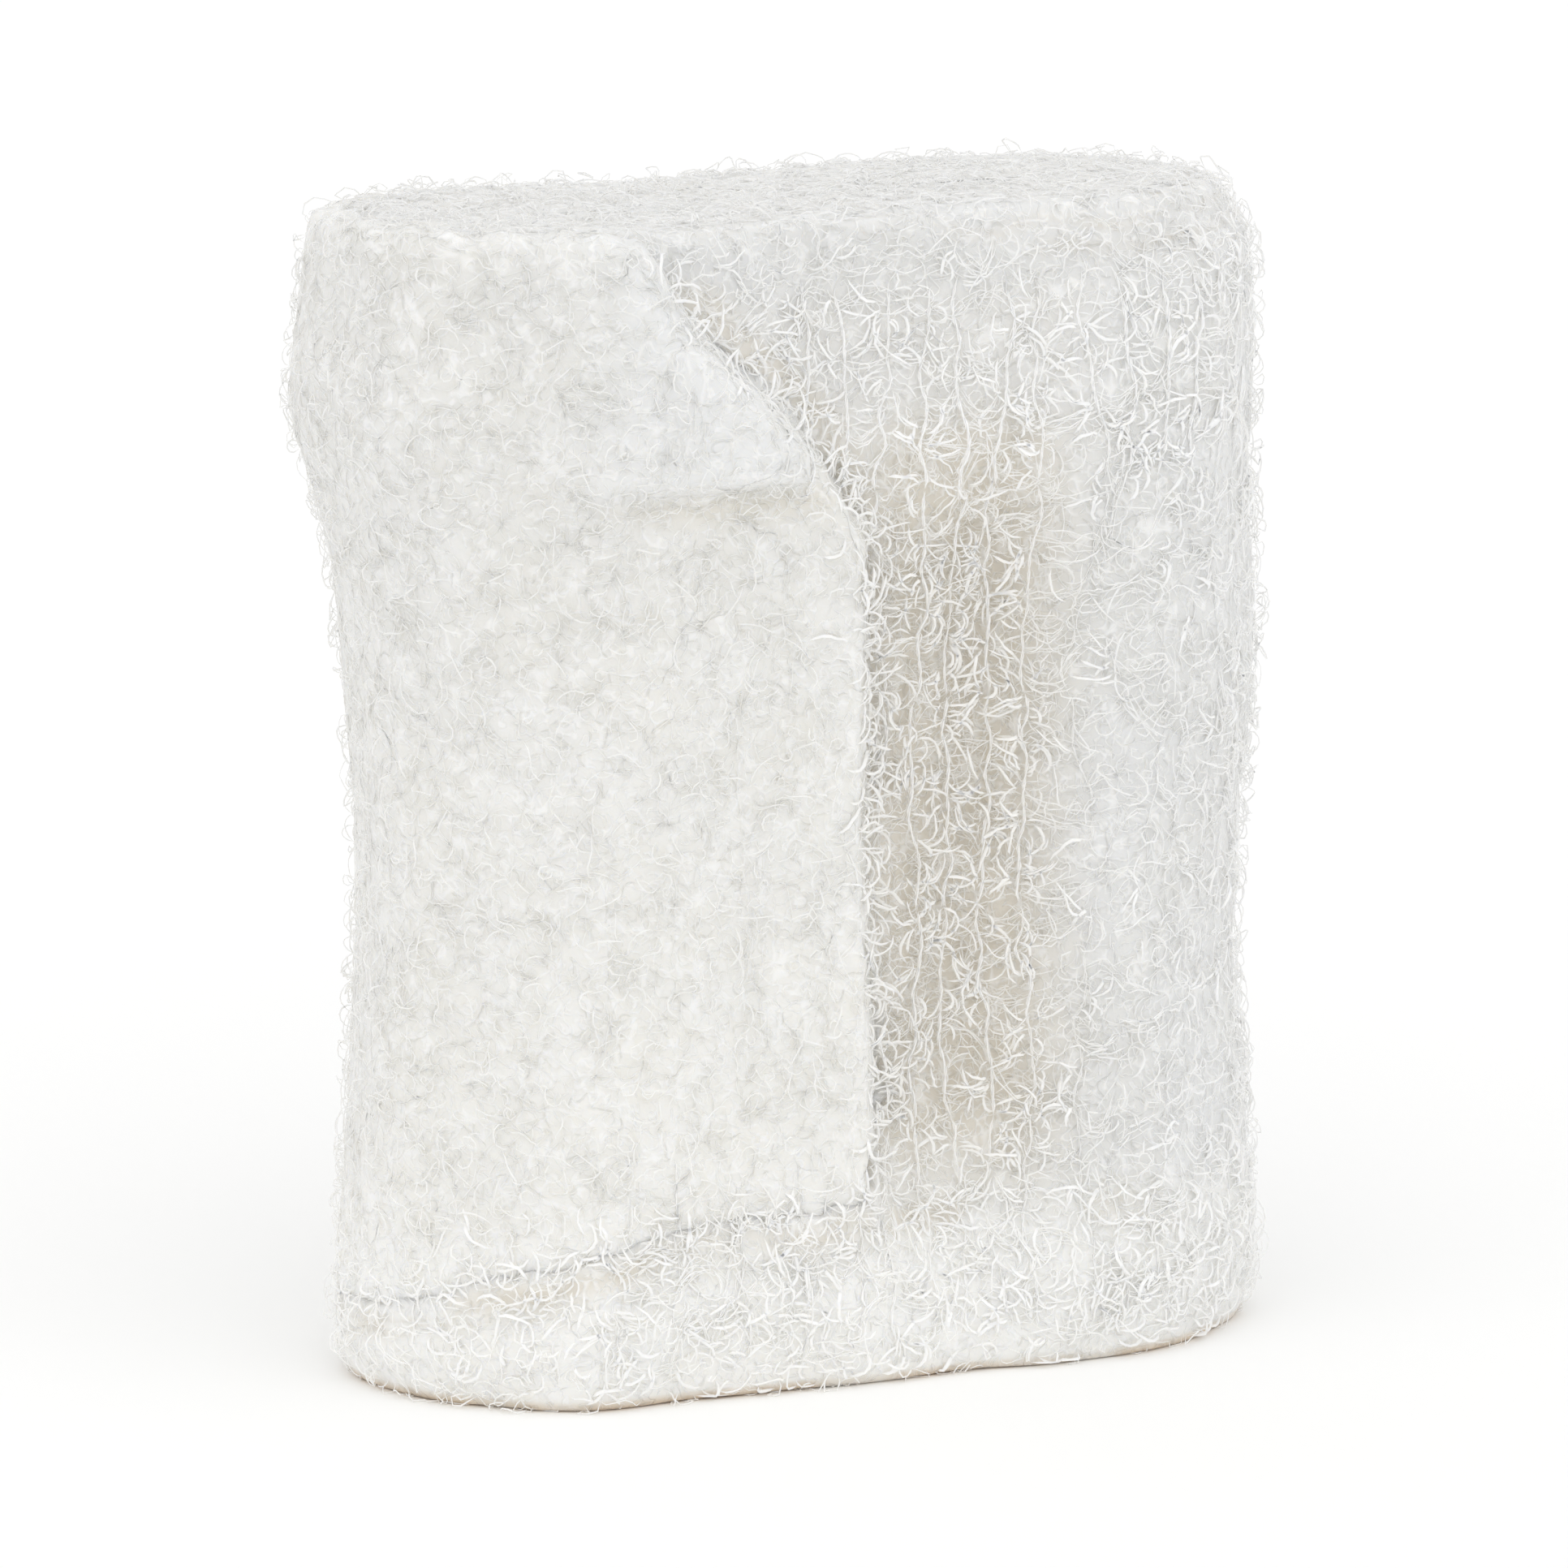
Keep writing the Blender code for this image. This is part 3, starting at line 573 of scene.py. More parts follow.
def threads(name, paths, radii, normals, material):
    """One mesh of three-sided closed threads along paths, each drawn out to a point at both ends."""
    paths[:, :, 2] = np.maximum(paths[:, :, 2], FLOOR_CLEAR)
    count, points = paths.shape[:2]
    along = unit(np.gradient(paths, axis=1))
    side = unit(np.cross(along, normals))
    up = np.cross(side, along)
    turns = 2 * math.pi * np.arange(3) / 3
    spoke = side[:, :, None] * np.cos(turns)[:, None] + up[:, :, None] * np.sin(turns)[:, None]
    rings = paths[:, 1:-1, None] + radii[:, 1:-1, None, None] * spoke[:, 1:-1]
    corners = np.concatenate([paths[:, :1], rings.reshape(count, -1, 3), paths[:, -1:]], axis=1)
    last = 3 * (points - 2) + 1
    faces = []
    for corner in range(3):
        following = (corner + 1) % 3
        faces.append((0, 1 + corner, 1 + following))
        faces.append((last, last - 3 + following, last - 3 + corner))
        for ring in range(points - 3):
            here, beside = 1 + 3 * ring + corner, 1 + 3 * ring + following
            faces += [(here, here + 3, beside + 3), (here, beside + 3, beside)]
    starts = corners.shape[1] * np.arange(count)
    faces = (np.array(faces)[None] + starts[:, None, None]).reshape(-1, 3)
    thread_piece(name, corners.reshape(-1, 3), faces, material)


def thread_piece(name, corners, faces, material):
    mesh = bpy.data.meshes.new(name)
    mesh.vertices.add(len(corners))
    mesh.vertices.foreach_set("co", corners.ravel())
    mesh.loops.add(faces.size)
    mesh.loops.foreach_set("vertex_index", faces.ravel())
    mesh.polygons.add(len(faces))
    mesh.polygons.foreach_set("loop_start", np.arange(0, faces.size, 3))
    mesh.update(calc_edges=True)
    mesh.shade_flat()
    mesh.materials.append(material)
    piece = add_object(name, mesh)
    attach(piece, BODY)


def surface_tree(piece):
    mesh = piece.data
    return BVHTree.FromPolygons(
        [tuple(vertex.co) for vertex in mesh.vertices],
        [tuple(face.vertices) for face in mesh.polygons],
    )


def look_in(trees, ways, heights):
    """Outermost surface at each way round and height: its point, outward direction and which tree."""
    middle, outward = section(ways)
    start = np.concatenate([middle + outward * (ROUND + OUTSIDE), heights[:, None]], axis=1)
    inward = np.concatenate([-outward, np.zeros((len(ways), 1))], axis=1)
    found = start + inward * OUTSIDE
    owner = np.full(len(ways), -1)
    for index, (origin, direction) in enumerate(zip(start, inward)):
        best = math.inf
        for number, tree in enumerate(trees):
            point, _, _, distance = tree.ray_cast(Vector(origin), Vector(direction))
            if point is not None and distance < best:
                best = distance
                found[index] = point
                owner[index] = number
    return found, -inward, owner


def settle(tree, points, lifts):
    """Lays each point on the nearest surface and lifts it off; also gives the directions of lift."""
    flat = points.reshape(-1, 3)
    placed = np.empty_like(flat)
    normals = np.empty_like(flat)
    for index, point in enumerate(flat):
        placed[index], normals[index] = tree.find_nearest(Vector(point))[:2]
    placed += normals * lifts.reshape(-1, 1)
    return placed.reshape(points.shape), normals.reshape(points.shape)


def roots(piece, count, rng, weight):
    """Random points on a piece's faces, with their normals; weight says how dense each face is."""
    faces = piece.data.polygons
    centres, normals = vectors_of(faces, "center"), vectors_of(faces, "normal")
    areas = np.empty(len(faces))
    faces.foreach_get("area", areas)
    chance = areas * weight(centres, normals)
    chosen = rng.choice(len(faces), count, p=chance / chance.sum())
    reach = np.sqrt(areas[chosen])[:, None] * 0.5
    first, second = tangents(normals[chosen])
    spread = rng.uniform(-1, 1, (count, 2))
    found = centres[chosen] + reach * (spread[:, :1] * first + spread[:, 1:] * second)
    return found, normals[chosen]


def tangents(normals):
    """Two directions in the surface at each normal: level, and up the surface."""
    upright = np.where(np.abs(normals[:, 2:3]) > NEARLY_UPRIGHT, (0.0, 1.0, 0.0), (0.0, 0.0, 1.0))
    level = unit(np.cross(upright, normals))
    return level, np.cross(normals, level)


def uncovered(tree, points, normals):
    """Which points have no surface of the tree over them."""
    start = points + normals * COVER_START
    return np.array([
        tree.ray_cast(Vector(point), Vector(normal), COVER_REACH)[0] is None
        for point, normal in zip(start, normals)
    ])


def ripple(steps, waves, rng, count):
    """A wave along each of count threads; waves is the range of how many fit on one."""
    return np.sin(2 * math.pi * (rng.uniform(*waves, (count, 1)) * steps + rng.uniform(0, 1, (count, 1))))


def curls(tree, places, normals, rng, length, height, turn, clear):
    """Centre lines of curly fibres that start at places: range of length, of arch height, curl."""
    count = len(places)
    steps = np.linspace(0.0, 1.0, CURL_POINTS)
    reach = rng.uniform(*length, (count, 1)) / (CURL_POINTS - 1)
    heading = rng.uniform(0, 2 * math.pi, (count, 1))
    sway = rng.normal(0, turn, (count, 1)) * steps
    sway += rng.normal(0, turn / 3, (count, 1)) * ripple(steps, CURL_WAVES, rng, count)
    angles = heading + sway
    level, up = tangents(normals)
    moves = np.cos(angles)[:, :, None] * level[:, None] + np.sin(angles)[:, :, None] * up[:, None]
    paths = places[:, None] + np.cumsum(moves * reach[:, :, None], axis=1)
    lifts = clear + rng.uniform(*height, (count, 1)) * np.sin(math.pi * steps) ** CURL_ARCH
    lifts = lifts + rng.uniform(0, 1, (count, 1)) * clear * steps
    return settle(tree, paths, lifts)


def thickness(count, points, radius, rng):
    """Radii along threads: each has its own, and swells and thins a little."""
    own = radius * rng.uniform(1 - THREAD_SPREAD, 1 + THREAD_SPREAD, (count, 1))
    steps = np.linspace(0, 1, points)
    return own * (1 + THREAD_SWELL * ripple(steps, SWELL_WAVES, rng, count))


# ---- materials

def add_node(tree, kind, values=None, **settings):
    node = tree.nodes.new(kind)
    for name, value in settings.items():
        setattr(node, name, value)
    for name, value in (values or {}).items():
        feed(tree, node.inputs[name], value)
    return node


def feed(tree, socket, value):
    """Gives a socket a value, or links it to the output that is one."""
    if isinstance(value, bpy.types.NodeSocket):
        tree.links.new(value, socket)
    else:
        socket.default_value = value


def combine(tree, operation, first, second=0.0):
    return add_node(tree, "ShaderNodeMath", {0: first, 1: second}, operation=operation).outputs[0]


def distance_from(tree, value, middle):
    return combine(tree, "ABSOLUTE", combine(tree, "SUBTRACT", value, middle))


def remap(tree, value, low, high, to_low=0.0, to_high=1.0, slope="LINEAR"):
    return add_node(
        tree, "ShaderNodeMapRange",
        {"Value": value, "From Min": low, "From Max": high, "To Min": to_low, "To Max": to_high},
        interpolation_type=slope,
    ).outputs[0]


def mix(tree, share, first, second, blend="MIX"):
    node = add_node(tree, "ShaderNodeMix", data_type="RGBA", blend_type=blend)
    for socket, value in ((0, share), (6, first), (7, second)):
        feed(tree, node.inputs[socket], value)
    return node.outputs[2]


def noise(tree, place, scale, detail, offset=(0.0, 0.0, 0.0)):
    spot = add_node(tree, "ShaderNodeMapping", {"Vector": place, "Location": offset})
    return add_node(
        tree, "ShaderNodeTexNoise", {"Vector": spot.outputs[0], "Scale": scale, "Detail": detail}
    )


def hairs(tree, place, scale, width, offset, keep):
    """Short curved lines, like single fibres: level lines of a noise, broken up by another."""
    field = noise(tree, place, scale, 0.0, offset).outputs[0]
    line = remap(tree, distance_from(tree, field, 0.5), 0.0, width, 1.0, 0.0, "SMOOTHSTEP")
    moved = tuple(value + BREAK_OFFSET for value in offset)
    breaks = noise(tree, place, scale * BREAK_SCALE, 0.0, moved).outputs[0]
    return combine(tree, "MULTIPLY", line, remap(tree, breaks, keep, keep + BREAK_FADE))


def most(tree, values):
    """The largest of several values."""
    top = values[0]
    for value in values[1:]:
        top = combine(tree, "MAXIMUM", top, value)
    return top


def painted(tree, name):
    return add_node(tree, "ShaderNodeAttribute", attribute_name=name).outputs["Fac"]


def across_and_up(tree, place):
    parts = add_node(tree, "ShaderNodeSeparateXYZ", {0: place})
    return parts.outputs["X"], parts.outputs["Z"]


def painted_light_at_place(tree, place, colour):
    """Painted light and shade: whiter at the puffed rim, a little greyer towards the top and the right."""
    across, up = across_and_up(tree, place)
    colour = mix(tree, remap(tree, up, *RIM_FADE, RIM_SHARE, 0.0), colour, RIM_PAINTED_LIGHT)
    upwards = remap(tree, up, *GREY_UPWARDS)
    sideways = remap(tree, across, *GREY_SIDEWAYS)
    return mix(tree, combine(tree, "MAXIMUM", upwards, sideways), colour, PAINTED_SHADE_GREY, "MULTIPLY")


def in_shade(tree, place, colour):
    """Darker and warmer down in the hollow: painted shade."""
    across, up = across_and_up(tree, place)
    sideways = remap(tree, distance_from(tree, across, SHADE_MIDDLE), *SHADE_ACROSS, 1.0, 0.0)
    above = remap(tree, up, *SHADE_ABOVE, 1.0, 0.0)
    below = remap(tree, up, *SHADE_BELOW)
    share = combine(tree, "MULTIPLY", sideways, combine(tree, "MULTIPLY", above, below))
    return mix(tree, share, colour, SHADE, "MULTIPLY")


def new_material(name, look):
    """A plain material with the given settings, and its shader."""
    material = bpy.data.materials.new(name)
    material.use_nodes = True
    shader = material.node_tree.nodes["Principled BSDF"]
    for setting, value in look.items():
        shader.inputs[setting].default_value = value
    return material, shader


def pulled_about(tree, place):
    """The place, shifted here and there, so that the fibres drawn on it bend."""
    drift = noise(tree, place, DRIFT_SCALE, DRIFT_DETAIL).outputs["Color"]
    pull = add_node(tree, "ShaderNodeVectorMath", {0: drift, 1: (0.5, 0.5, 0.5)}, operation="SUBTRACT")
    pull = add_node(tree, "ShaderNodeVectorMath", {0: pull.outputs[0], "Scale": DRIFT}, operation="SCALE")
    moved = add_node(tree, "ShaderNodeVectorMath", {0: place, 1: pull.outputs[0]}, operation="ADD")
    return moved.outputs[0]


def cotton(name, pale, warm, painted_shade_colour, shadow_line_share, bump):
    """Matted cotton: fine fibres over each other, thin painted shadows between them, and painted shade
    where shade falls on the cloth.
    """
    material, shader = new_material(name, CLOTH_LOOK)
    tree = material.node_tree
    place = add_node(tree, "ShaderNodeTexCoord").outputs["Object"]
    warped = pulled_about(tree, place)
    # Painted shadows: thin lines between the fibres
    shadow_lines = most(tree, [hairs(tree, warped, *plan) for plan in PAINTED_SHADOW_LINES])
    light = most(tree, [hairs(tree, warped, *plan) for plan in LIGHT_HAIRS])
    fuzz = noise(tree, warped, FUZZ_SCALE, FUZZ_DETAIL).outputs[0]
    clouds = noise(tree, place, *CLOUDS).outputs[0]
    painted_shade = painted(tree, "painted_shade")
    base = mix(tree, remap(tree, clouds, *CLOUD_WARM), pale, warm)
    fuzz_colour = (*[FUZZ_TONE * value for value in warm[:3]], 1.0)
    base = mix(tree, remap(tree, fuzz, *FUZZ_RANGE, 0.0, FUZZ_SHARE), base, fuzz_colour)
    base = mix(tree, combine(tree, "MULTIPLY", painted(tree, "cool"), COOL_SHARE), base, COOL_COLOUR)
    # Painted shade where the mesh is painted for it, over the painted light and shade by place
    base = mix(tree, painted_shade, painted_light_at_place(tree, place, base), painted_shade_colour)
    # Painted shadow lines between the fibres
    base = mix(tree, combine(tree, "MULTIPLY", shadow_lines, shadow_line_share), base, PAINTED_SHADOW_COLOUR)
    base = mix(tree, combine(tree, "MULTIPLY", light, LIGHT_SHARE), base, LIGHT_COLOUR)
    # Painted brown contact shade at the foot
    foot = remap(tree, across_and_up(tree, place)[1], *FOOT_FADE, FOOT_SHARE, 0.0)
    base = mix(tree, combine(tree, "MULTIPLY", foot, remap(tree, clouds, *CLOUD_BROWN)), base, FOOT_SHADE_BROWN)
    tree.links.new(base, shader.inputs["Base Color"])
    height = combine(tree, "SUBTRACT", light, combine(tree, "MULTIPLY", shadow_lines, DARK_DEPTH))
    height = combine(tree, "ADD", height, combine(tree, "MULTIPLY", fuzz, FUZZ_HEIGHT))
    relief = add_node(tree, "ShaderNodeBump", {"Height": height, "Strength": 1.0, "Distance": bump})
    tree.links.new(relief.outputs[0], shader.inputs["Normal"])
    return material


def thread_cotton(name, pale, warm, scale, light_and_shade):
    """Single cotton threads, with warmer stretches; the last argument paints light and shade into their
    colour by place.
    """
    material, shader = new_material(name, THREAD_LOOK)
    tree = material.node_tree
    place = add_node(tree, "ShaderNodeTexCoord").outputs["Object"]
    patches = noise(tree, place, scale, PATCH_DETAIL).outputs[0]
    base = mix(tree, remap(tree, patches, *PATCH_RANGE), pale, warm)
    tree.links.new(light_and_shade(tree, place, base), shader.inputs["Base Color"])
    return material


# ---- thread plans

def make_net(trees, rng, material):
    """Crimped two-strand yarns up the roll; gives their ways round, and the heights of those."""
    count = int((YARN_FROM - YARN_TO) / YARN_PITCH)
    starts = YARN_FROM - YARN_PITCH * (np.arange(count) + rng.uniform(-YARN_STRAY, YARN_STRAY, count))
    heights = np.arange(NET_LOW, NET_HIGH, YARN_STEP)
    lines = np.empty((count, len(heights)))
    for index, start in enumerate(starts):
        wander = sum(bend * wavy(heights[:, None], size, rng, BEND_WAVES) for bend, size in YARN_BENDS)
        lines[index] = start + wander
    flat_ways, flat_heights = lines.ravel(), np.tile(heights, count)
    points, outward, owner = look_in(trees, flat_ways, flat_heights)
    shows = net_shows(flat_ways, flat_heights)
    uneven = wavy(np.stack([flat_ways, flat_heights], -1), LIFT_LENGTH, rng)
    lift = YARN_LIFT * uneven - YARN_SUNK + YARN_RAISED * shows
    lift += HOLLOW_LIFT * hollow(flat_ways, flat_heights)
    placed = (points + outward * lift[:, None]).reshape(count, -1, 3)
    normals, shows = outward.reshape(count, -1, 3), shows.reshape(count, -1)
    on_roll = owner.reshape(count, -1) == 0
    paths, sides, strength = [], [], []
    for index in range(count):
        for start in range(0, len(heights) - YARN_POINTS, YARN_POINTS - 1):
            part = slice(start, start + YARN_POINTS)
            if on_roll[index, part].mean() < YARN_SHOWN:
                continue
            normal = normals[index, part]
            turn = 2 * math.pi * heights[part] / YARN_TWIST + rng.uniform(*TWIST_START)
            around = np.cross(normal, (0.0, 0.0, 1.0))
            spoke = np.cos(turn)[:, None] * around + np.sin(turn)[:, None] * normal
            for sign in (1, -1):
                paths.append(placed[index, part] + sign * (YARN_PLY * YARN_RADIUS * spoke))
                sides.append(normal)
                strength.append(YARN_HIDDEN + YARN_OPEN * shows[index, part])
    radii = thickness(len(paths), YARN_POINTS, YARN_RADIUS, rng) * np.array(strength)
    threads("roll_yarns", np.array(paths), radii, np.array(sides), material)
    return lines, heights


def make_weft(trees, rng, material, lines, heights):
    """Curly threads across from yarn to yarn, in bundles of nearly parallel ones."""
    ways, levels, lifts = [], [], []
    steps = np.linspace(*WEFT_SPAN, WEFT_POINTS)
    arch = 4 * steps * (1 - steps)
    for left, right in zip(lines, lines[1:]):
        level = NET_LOW + rng.uniform(0, BUNDLE_PITCH)
        while level < WEFT_TOP:
            bundle = rng.integers(*BUNDLE_COUNT)
            sag = rng.normal(WEFT_SAG, WEFT_SAG_SPREAD)
            tilt = rng.normal(0, WEFT_TILT)
            bow = rng.uniform(*WEFT_BOW)
            for thread in range(bundle):
                own = level + thread * rng.uniform(*BUNDLE_STEP)
                start, end = np.interp(own, heights, left), np.interp(own, heights, right)
                share = steps * rng.uniform(*WEFT_STRETCH) + rng.uniform(*WEFT_SHIFT)
                ways.append(start + (end - start) * share)
                wiggle = rng.normal(0, WEFT_WIGGLE, WEFT_POINTS)
                levels.append(own + (sag + rng.normal(0, WEFT_OWN_SAG)) * arch + tilt * steps + wiggle)
                lifts.append(WEFT_CLEAR + rng.uniform(*WEFT_LIFT) + bow * np.maximum(arch, 0))
            shows = net_shows(np.interp([level], heights, left), np.array([level]))[0]
            pitch = BUNDLE_PITCH * (PITCH_OPEN + PITCH_HIDDEN * (1 - shows))
            level += bundle * BUNDLE_MEAN + rng.exponential(pitch)
    ways, levels = np.array(ways).ravel(), np.clip(levels, *WEFT_HEIGHTS).ravel()
    points, outward, owner = look_in(trees, ways, levels)
    raised = rng.uniform(*WEFT_RAISED, len(lifts)).repeat(WEFT_POINTS)
    lift = np.array(lifts).ravel() + HOLLOW_LIFT * hollow(ways, levels) * raised
    placed = (points + outward * lift[:, None]).reshape(-1, WEFT_POINTS, 3)
    on_roll = (owner.reshape(-1, WEFT_POINTS) == 0).mean(axis=1) > 0.5
    placed, normals = placed[on_roll], outward.reshape(-1, WEFT_POINTS, 3)[on_roll]
    radii = thickness(len(placed), WEFT_POINTS, WEFT_RADIUS, rng)
    threads("roll_weft", placed, radii, normals, material)


def make_fluff(rng, name, ground, material, wanted, weight, length, height, turn, radius):
    """Curly fibres all over a piece, where the other piece doesn't cover it."""
    piece, tree, other, slot = ground
    count = int(wanted * SHARE)
    places, normals = roots(piece, int(wanted * SHARE * CURLS_TRIED), rng, weight)
    open_air = uncovered(other, places, normals)
    places, normals = places[open_air][:count], normals[open_air][:count]
    paths, sides = curls(tree, places, normals, rng, length, height, turn, radius * CURL_CLEAR)
    radii = thickness(len(paths), CURL_POINTS, radius, rng)
    threads(name, paths, radii, sides, material)


def clear_of_net(centres):
    return 1.0 - NET_SPARED * net_shows(way_and_inset(centres)[0], centres[:, 2])


def on_side(centres, normals):
    return (np.abs(normals[:, 2]) < SIDE_SLOPE) * clear_of_net(centres)


def in_net(centres, normals):
    ways, _ = way_and_inset(centres)
    front = (normals[:, 1] < -FRONT_SLOPE) * rise(*NET_FLUFF_RIGHT, ways)
    upper = between(NET_FLUFF_LOW, NET_FLUFF_HIGH, centres[:, 2])
    return front * np.maximum(hollow(ways, centres[:, 2]), NET_FLUFF_UPPER * upper)


def on_ends(centres, normals):
    return (normals[:, 2] > TOP_SLOPE) + BOTTOM_FLUFF * (normals[:, 2] < -TOP_SLOPE)


def on_outside(centres, normals):
    outward = section(way_and_inset(centres)[0])[1]
    return (normals[:, :2] * outward).sum(axis=1) > OUTER_SLOPE


def above_bottom(centres, normals):
    chance = np.where(normals[:, 2] > LOOP_SLOPE, TOP_LOOPS, clear_of_net(centres))
    return chance * (normals[:, 2] > -LOOP_SLOPE)


def sheet_edges(trees):
    """Where the loose end stops: places on its outline, and which way is off it."""
    ways = np.arange(-AROUND / 2, AROUND / 2, EDGE_STEP)
    heights = np.arange(EDGE_MARGIN, HEIGHT - EDGE_MARGIN, EDGE_STEP)
    across, up = np.meshgrid(ways, heights, indexing="ij")
    owner = look_in(trees, across.ravel(), up.ravel())[2].reshape(across.shape)
    cover = evened((owner == 1).astype(float))
    slope = np.stack(np.gradient(cover), axis=-1)
    steep = np.linalg.norm(slope, axis=-1)
    edge = (steep > EDGE_STEEP) & (np.abs(cover - 0.5) < EDGE_MIDDLE)
    edge[:, :2] = edge[:, -2:] = False
    return np.stack([across[edge], up[edge]], axis=-1), -unit(slope[edge])


def make_hooks(name, trees, starts, rng, material, drop, arch, size=1.0):
    """Short curly threads from starts, their places and headings: range of how far they drop, and arch."""
    places, headings = starts
    count = len(places)
    steps = np.linspace(0.0, 1.0, HOOK_POINTS)
    turn = rng.uniform(*HOOK_TURN, (count, 1)) * rng.choice([-1, 1], (count, 1))
    angles = headings[:, None] + turn * steps + rng.normal(0, HOOK_KINK, (count, HOOK_POINTS))
    stride = size * rng.uniform(*HOOK_LENGTH, (count, 1)) / (HOOK_POINTS - 1)
    ways = places[:, :1] + np.cumsum(np.cos(angles) * stride, axis=1)
    heights = np.clip(places[:, 1:] + np.cumsum(np.sin(angles) * stride, axis=1), *HOOK_HEIGHTS)
    points, outward, owner = look_in(trees, ways.ravel(), heights.ravel())
    points, outward = points.reshape(count, -1, 3), outward.reshape(count, -1, 3)
    middle = section(ways.ravel())[0].reshape(count, -1, 2)
    ground = ((points[:, :, :2] - middle) * outward[:, :, :2]).sum(axis=2)
    dropped = rng.uniform(*drop, (count, 1)) * steps
    base = ground + HOLLOW_LIFT * hollow(ways, heights) * (owner.reshape(count, -1) == 0)
    level = np.maximum(base[:, :1] * (1 - dropped) + base * dropped, ground)
    level += rng.uniform(*arch, (count, 1)) * np.sin(math.pi * steps) ** HOOK_ARCH
    paths = points + outward * (level - ground)[:, :, None]
    radii = thickness(count, HOOK_POINTS, HOOK_RADIUS * size ** HOOK_SLIM, rng)
    threads(name, paths, radii, outward, material)


def net_places(trees, lines, heights, rng, count):
    """Starts of hooks beside the yarns, in bundles of a few nearly parallel ones, with their headings."""
    places, headings = [], []
    while len(places) < count:
        line = lines[rng.integers(len(lines))]
        height = rng.uniform(NET_LOW, NET_HIGH)
        way = np.interp(height, heights, line)
        if rng.uniform() > HOOKS_HIDDEN + net_shows(np.array([way]), np.array([height]))[0]:
            continue
        heading = rng.choice([0.0, math.pi]) + rng.normal(0, BUNDLE_SPLAY)
        for thread in range(rng.integers(*HOOKS_TOGETHER)):
            places.append((way, height + thread * rng.uniform(*HOOKS_APART)))
            headings.append(heading + rng.normal(0, HOOK_SPLAY))
    places, headings = np.array(places), np.array(headings)
    on_roll = look_in(trees, places[:, 0], places[:, 1])[2] == 0
    return places[on_roll], headings[on_roll]


def rim_places(rng, count):
    """Starts of hooks on the puffed bottom rim, and their headings."""
    places = [rng.uniform(*RIM_WAYS, count), rng.uniform(*RIM_HEIGHTS, count)]
    return np.stack(places, axis=-1), rng.uniform(0, 2 * math.pi, count)


def edge_places(edge, off, rng, count):
    """Starts of hooks a little inside the loose end's outline, and headings that lead off it."""
    along_bottom = (edge[:, 1] < BOTTOM_EDGE) & (off[:, 1] < BOTTOM_SLOPE)
    chance = np.where(along_bottom, BOTTOM_SHARE, 1.0)
    chosen = rng.choice(len(edge), count, p=chance / chance.sum())
    start = edge[chosen] + rng.uniform(-0.5, 0.5, (count, 2)) * EDGE_STEP
    start -= off[chosen] * rng.uniform(*EDGE_INSIDE, (count, 1))
    return start, np.arctan2(off[chosen][:, 1], off[chosen][:, 0]) + rng.normal(0, FRINGE_SPLAY, count)


# ---- set-up

def make_camera():
    data = bpy.data.cameras.new("camera")
    data.sensor_width = SENSOR
    data.lens = SENSOR * CAMERA_DISTANCE / VIEW_WIDTH
    data.clip_start, data.clip_end = CAMERA_CLIP
    camera = add_object("camera", data)
    back = Vector((
        math.sin(CAMERA_AZIMUTH) * math.cos(CAMERA_ELEVATION),
        -math.cos(CAMERA_AZIMUTH) * math.cos(CAMERA_ELEVATION),
        math.sin(CAMERA_ELEVATION),
    ))
    camera.location = CAMERA_AIM + back * CAMERA_DISTANCE
    camera.rotation_euler = (-back).to_track_quat("-Z", "Y").to_euler()
    bpy.context.scene.camera = camera


def make_light():
    world = bpy.data.worlds.new("studio")
    world.use_nodes = True
    sky = world.node_tree.nodes["Background"]
    sky.inputs["Color"].default_value = WHITE
    sky.inputs["Strength"].default_value = SKY_STRENGTH
    bpy.context.scene.world = world
    bpy.context.scene.view_settings.view_transform = "Standard"
    bpy.context.scene.cycles.diffuse_bounces = BOUNCES
    bpy.context.scene.cycles.max_bounces = BOUNCES
    light = bpy.data.lights.new("key", "SUN")
    light.energy, light.angle = KEY_STRENGTH, KEY_SPREAD
    add_object("key", light).rotation_euler = (KEY_TILT, 0.0, KEY_TURN)


def make_floor():
    mesh = bpy.data.meshes.new("floor")
    half = FLOOR_SIZE / 2
    corners = [(-half, -half, 0), (half, -half, 0), (half, half, 0), (-half, half, 0)]
    mesh.from_pydata(corners, [], [(0, 1, 2, 3)])
    mesh.materials.append(new_material("floor_paint", FLOOR_LOOK)[0])
    add_object("floor", mesh)


make_camera()
make_light()
make_floor()

rng = np.random.default_rng(SEED)
# Painted shade: the roll's cloth is the same gauze as the loose end's, but a little greyer
roll_cotton = cotton(
    "roll_cotton", pale=(0.842, 0.842, 0.834, 1.0), warm=(0.83, 0.826, 0.806, 1.0),
    painted_shade_colour=(0.78, 0.742, 0.672, 1.0), shadow_line_share=0.18, bump=0.0001,
)
sheet_cotton = cotton(
    "sheet_cotton", pale=(0.89, 0.884, 0.86, 1.0), warm=(0.874, 0.864, 0.828, 1.0),
    painted_shade_colour=(0.8, 0.775, 0.715, 1.0), shadow_line_share=0.16, bump=0.00008,
)
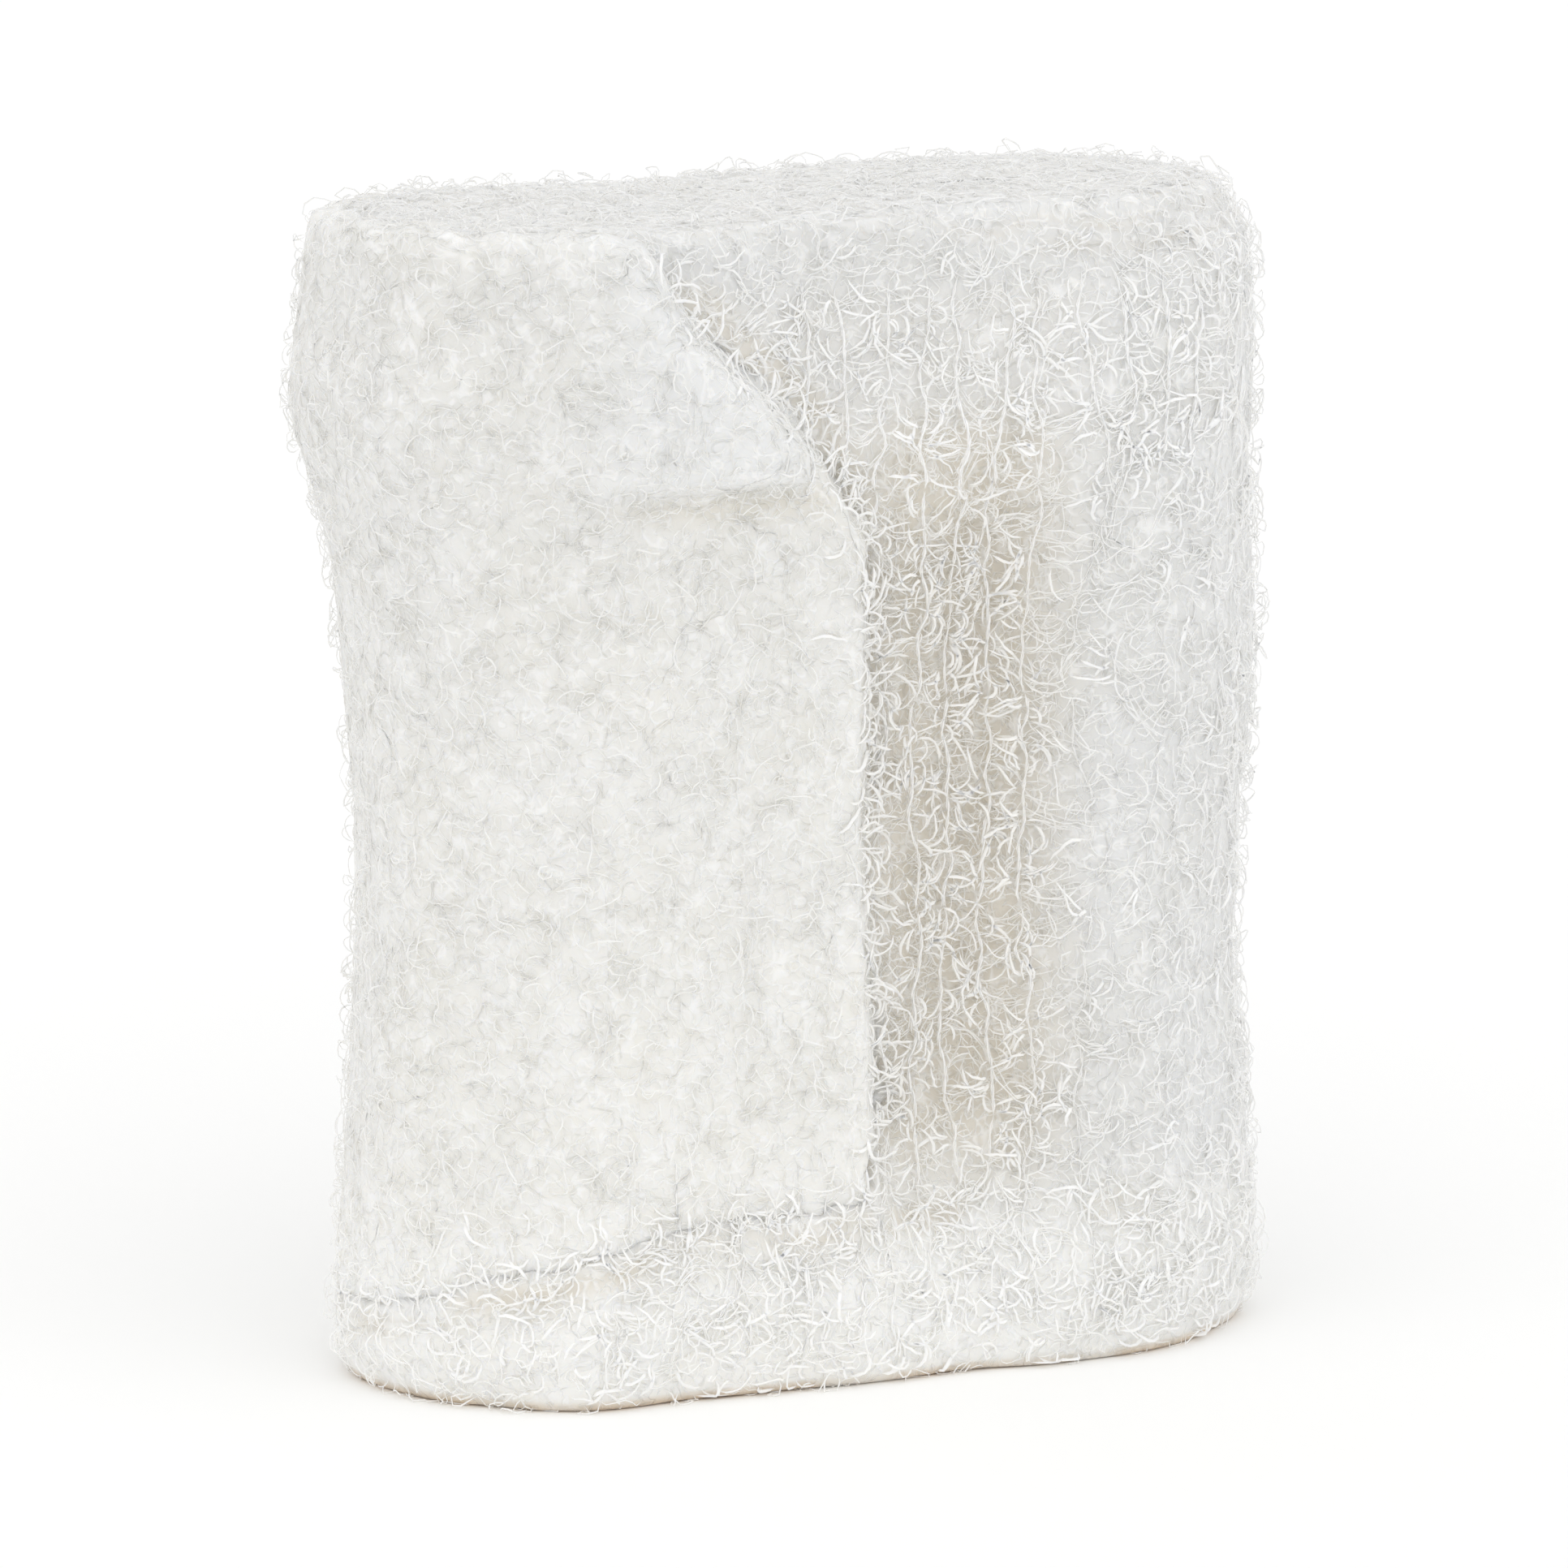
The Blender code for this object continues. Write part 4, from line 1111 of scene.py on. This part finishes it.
# Name, pale and warm colour, scale of the patches, and the painted light and shade by place
yarn_cotton, fibre_cotton, sheet_fibre, shadow_thread_cotton = (
    thread_cotton(*plan) for plan in (
        ("yarn_cotton", (0.96, 0.959, 0.952, 1.0), (0.946, 0.941, 0.924, 1.0), 300.0, in_shade),
        ("fibre_cotton", (0.902, 0.898, 0.882, 1.0), (0.888, 0.881, 0.857, 1.0), 220.0, painted_light_at_place),
        ("sheet_fibre", (0.876, 0.871, 0.85, 1.0), (0.858, 0.85, 0.82, 1.0), 220.0, painted_light_at_place),
        # Darker threads, painted shadows between fibres
        ("shadow_thread_cotton", (0.8, 0.785, 0.75, 1.0), (0.76, 0.74, 0.69, 1.0), 220.0, in_shade),
    )
)

sheet = dress_sheet(rng)
roll = dress_roll(rng, vectors_of(sheet.data.vertices, "co"))
for piece, node, slot, material in (
    (roll, "gauze_roll", ROLL_SLOT, roll_cotton), (sheet, "loose_end", SHEET_SLOT, sheet_cotton),
):
    piece.data.materials.append(material)
    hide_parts(node)
    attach(piece, BODY)

trees = roll_tree, sheet_tree = surface_tree(roll), surface_tree(sheet)
yarns = make_net(trees, rng, yarn_cotton)
make_weft(trees, rng, yarn_cotton, *yarns)

starts = net_places(trees, *yarns, rng, int(NET_HOOKS * SHARE))
make_hooks("roll_hooks", trees, starts, rng, yarn_cotton, HOOK_FALL, NET_HOOK_ARCH)
starts = net_places(trees, *yarns, rng, int(NET_FUZZ * SHARE))
make_hooks("yarn_fuzz", trees, starts, rng, yarn_cotton, HOOK_FALL, NET_FUZZ_ARCH, NET_FUZZ_SIZE)
starts = rim_places(rng, int(RIM_HOOKS * SHARE))
make_hooks("rim_hooks", trees, starts, rng, yarn_cotton, HOOK_FALL, RIM_HOOK_ARCH)
starts = edge_places(*sheet_edges(trees), rng, int(EDGE_HOOKS * SHARE))
make_hooks("loose_end_fringe", trees, starts, rng, yarn_cotton, FRINGE_FALL, FRINGE_ARCH)

on_roll = (roll, roll_tree, sheet_tree, ROLL_SLOT)
on_sheet = (sheet, sheet_tree, roll_tree, SHEET_SLOT)
# Name, ground, material, how many, where, ranges of length and height, curl, radius
for plan in (
    ("roll_fluff", on_roll, fibre_cotton, 4300,
     on_side, (0.0016, 0.0045), (0.00003, 0.0004), 2.2, 0.00006),
    ("end_fluff", on_roll, fibre_cotton, 1900,
     on_ends, (0.0014, 0.004), (0.00003, 0.0004), 2.2, 0.00007),
    ("net_fluff", on_roll, yarn_cotton, 1000,
     in_net, (0.0012, 0.004), (0.0002, 0.0017), 2.4, 0.000065),
    ("loose_end_fluff", on_sheet, sheet_fibre, 3400,
     on_outside, (0.0018, 0.006), (0.0, 0.00012), 1.8, 0.00005),
    ("roll_loops", on_roll, fibre_cotton, 3600,
     above_bottom, (0.003, 0.006), (0.0005, 0.0016), 3.8, 0.00008),
    # Darker threads on the loose end, painted shadows between its fibres
    ("loose_end_shadow_threads", on_sheet, shadow_thread_cotton, 1800,
     on_outside, (0.001, 0.0028), (0.00004, 0.00022), 1.2, 0.00005),
    ("loose_end_loops", on_sheet, sheet_fibre, 2300,
     on_outside, (0.002, 0.0052), (0.0003, 0.0013), 3.4, 0.00007),
):
    make_fluff(rng, *plan)
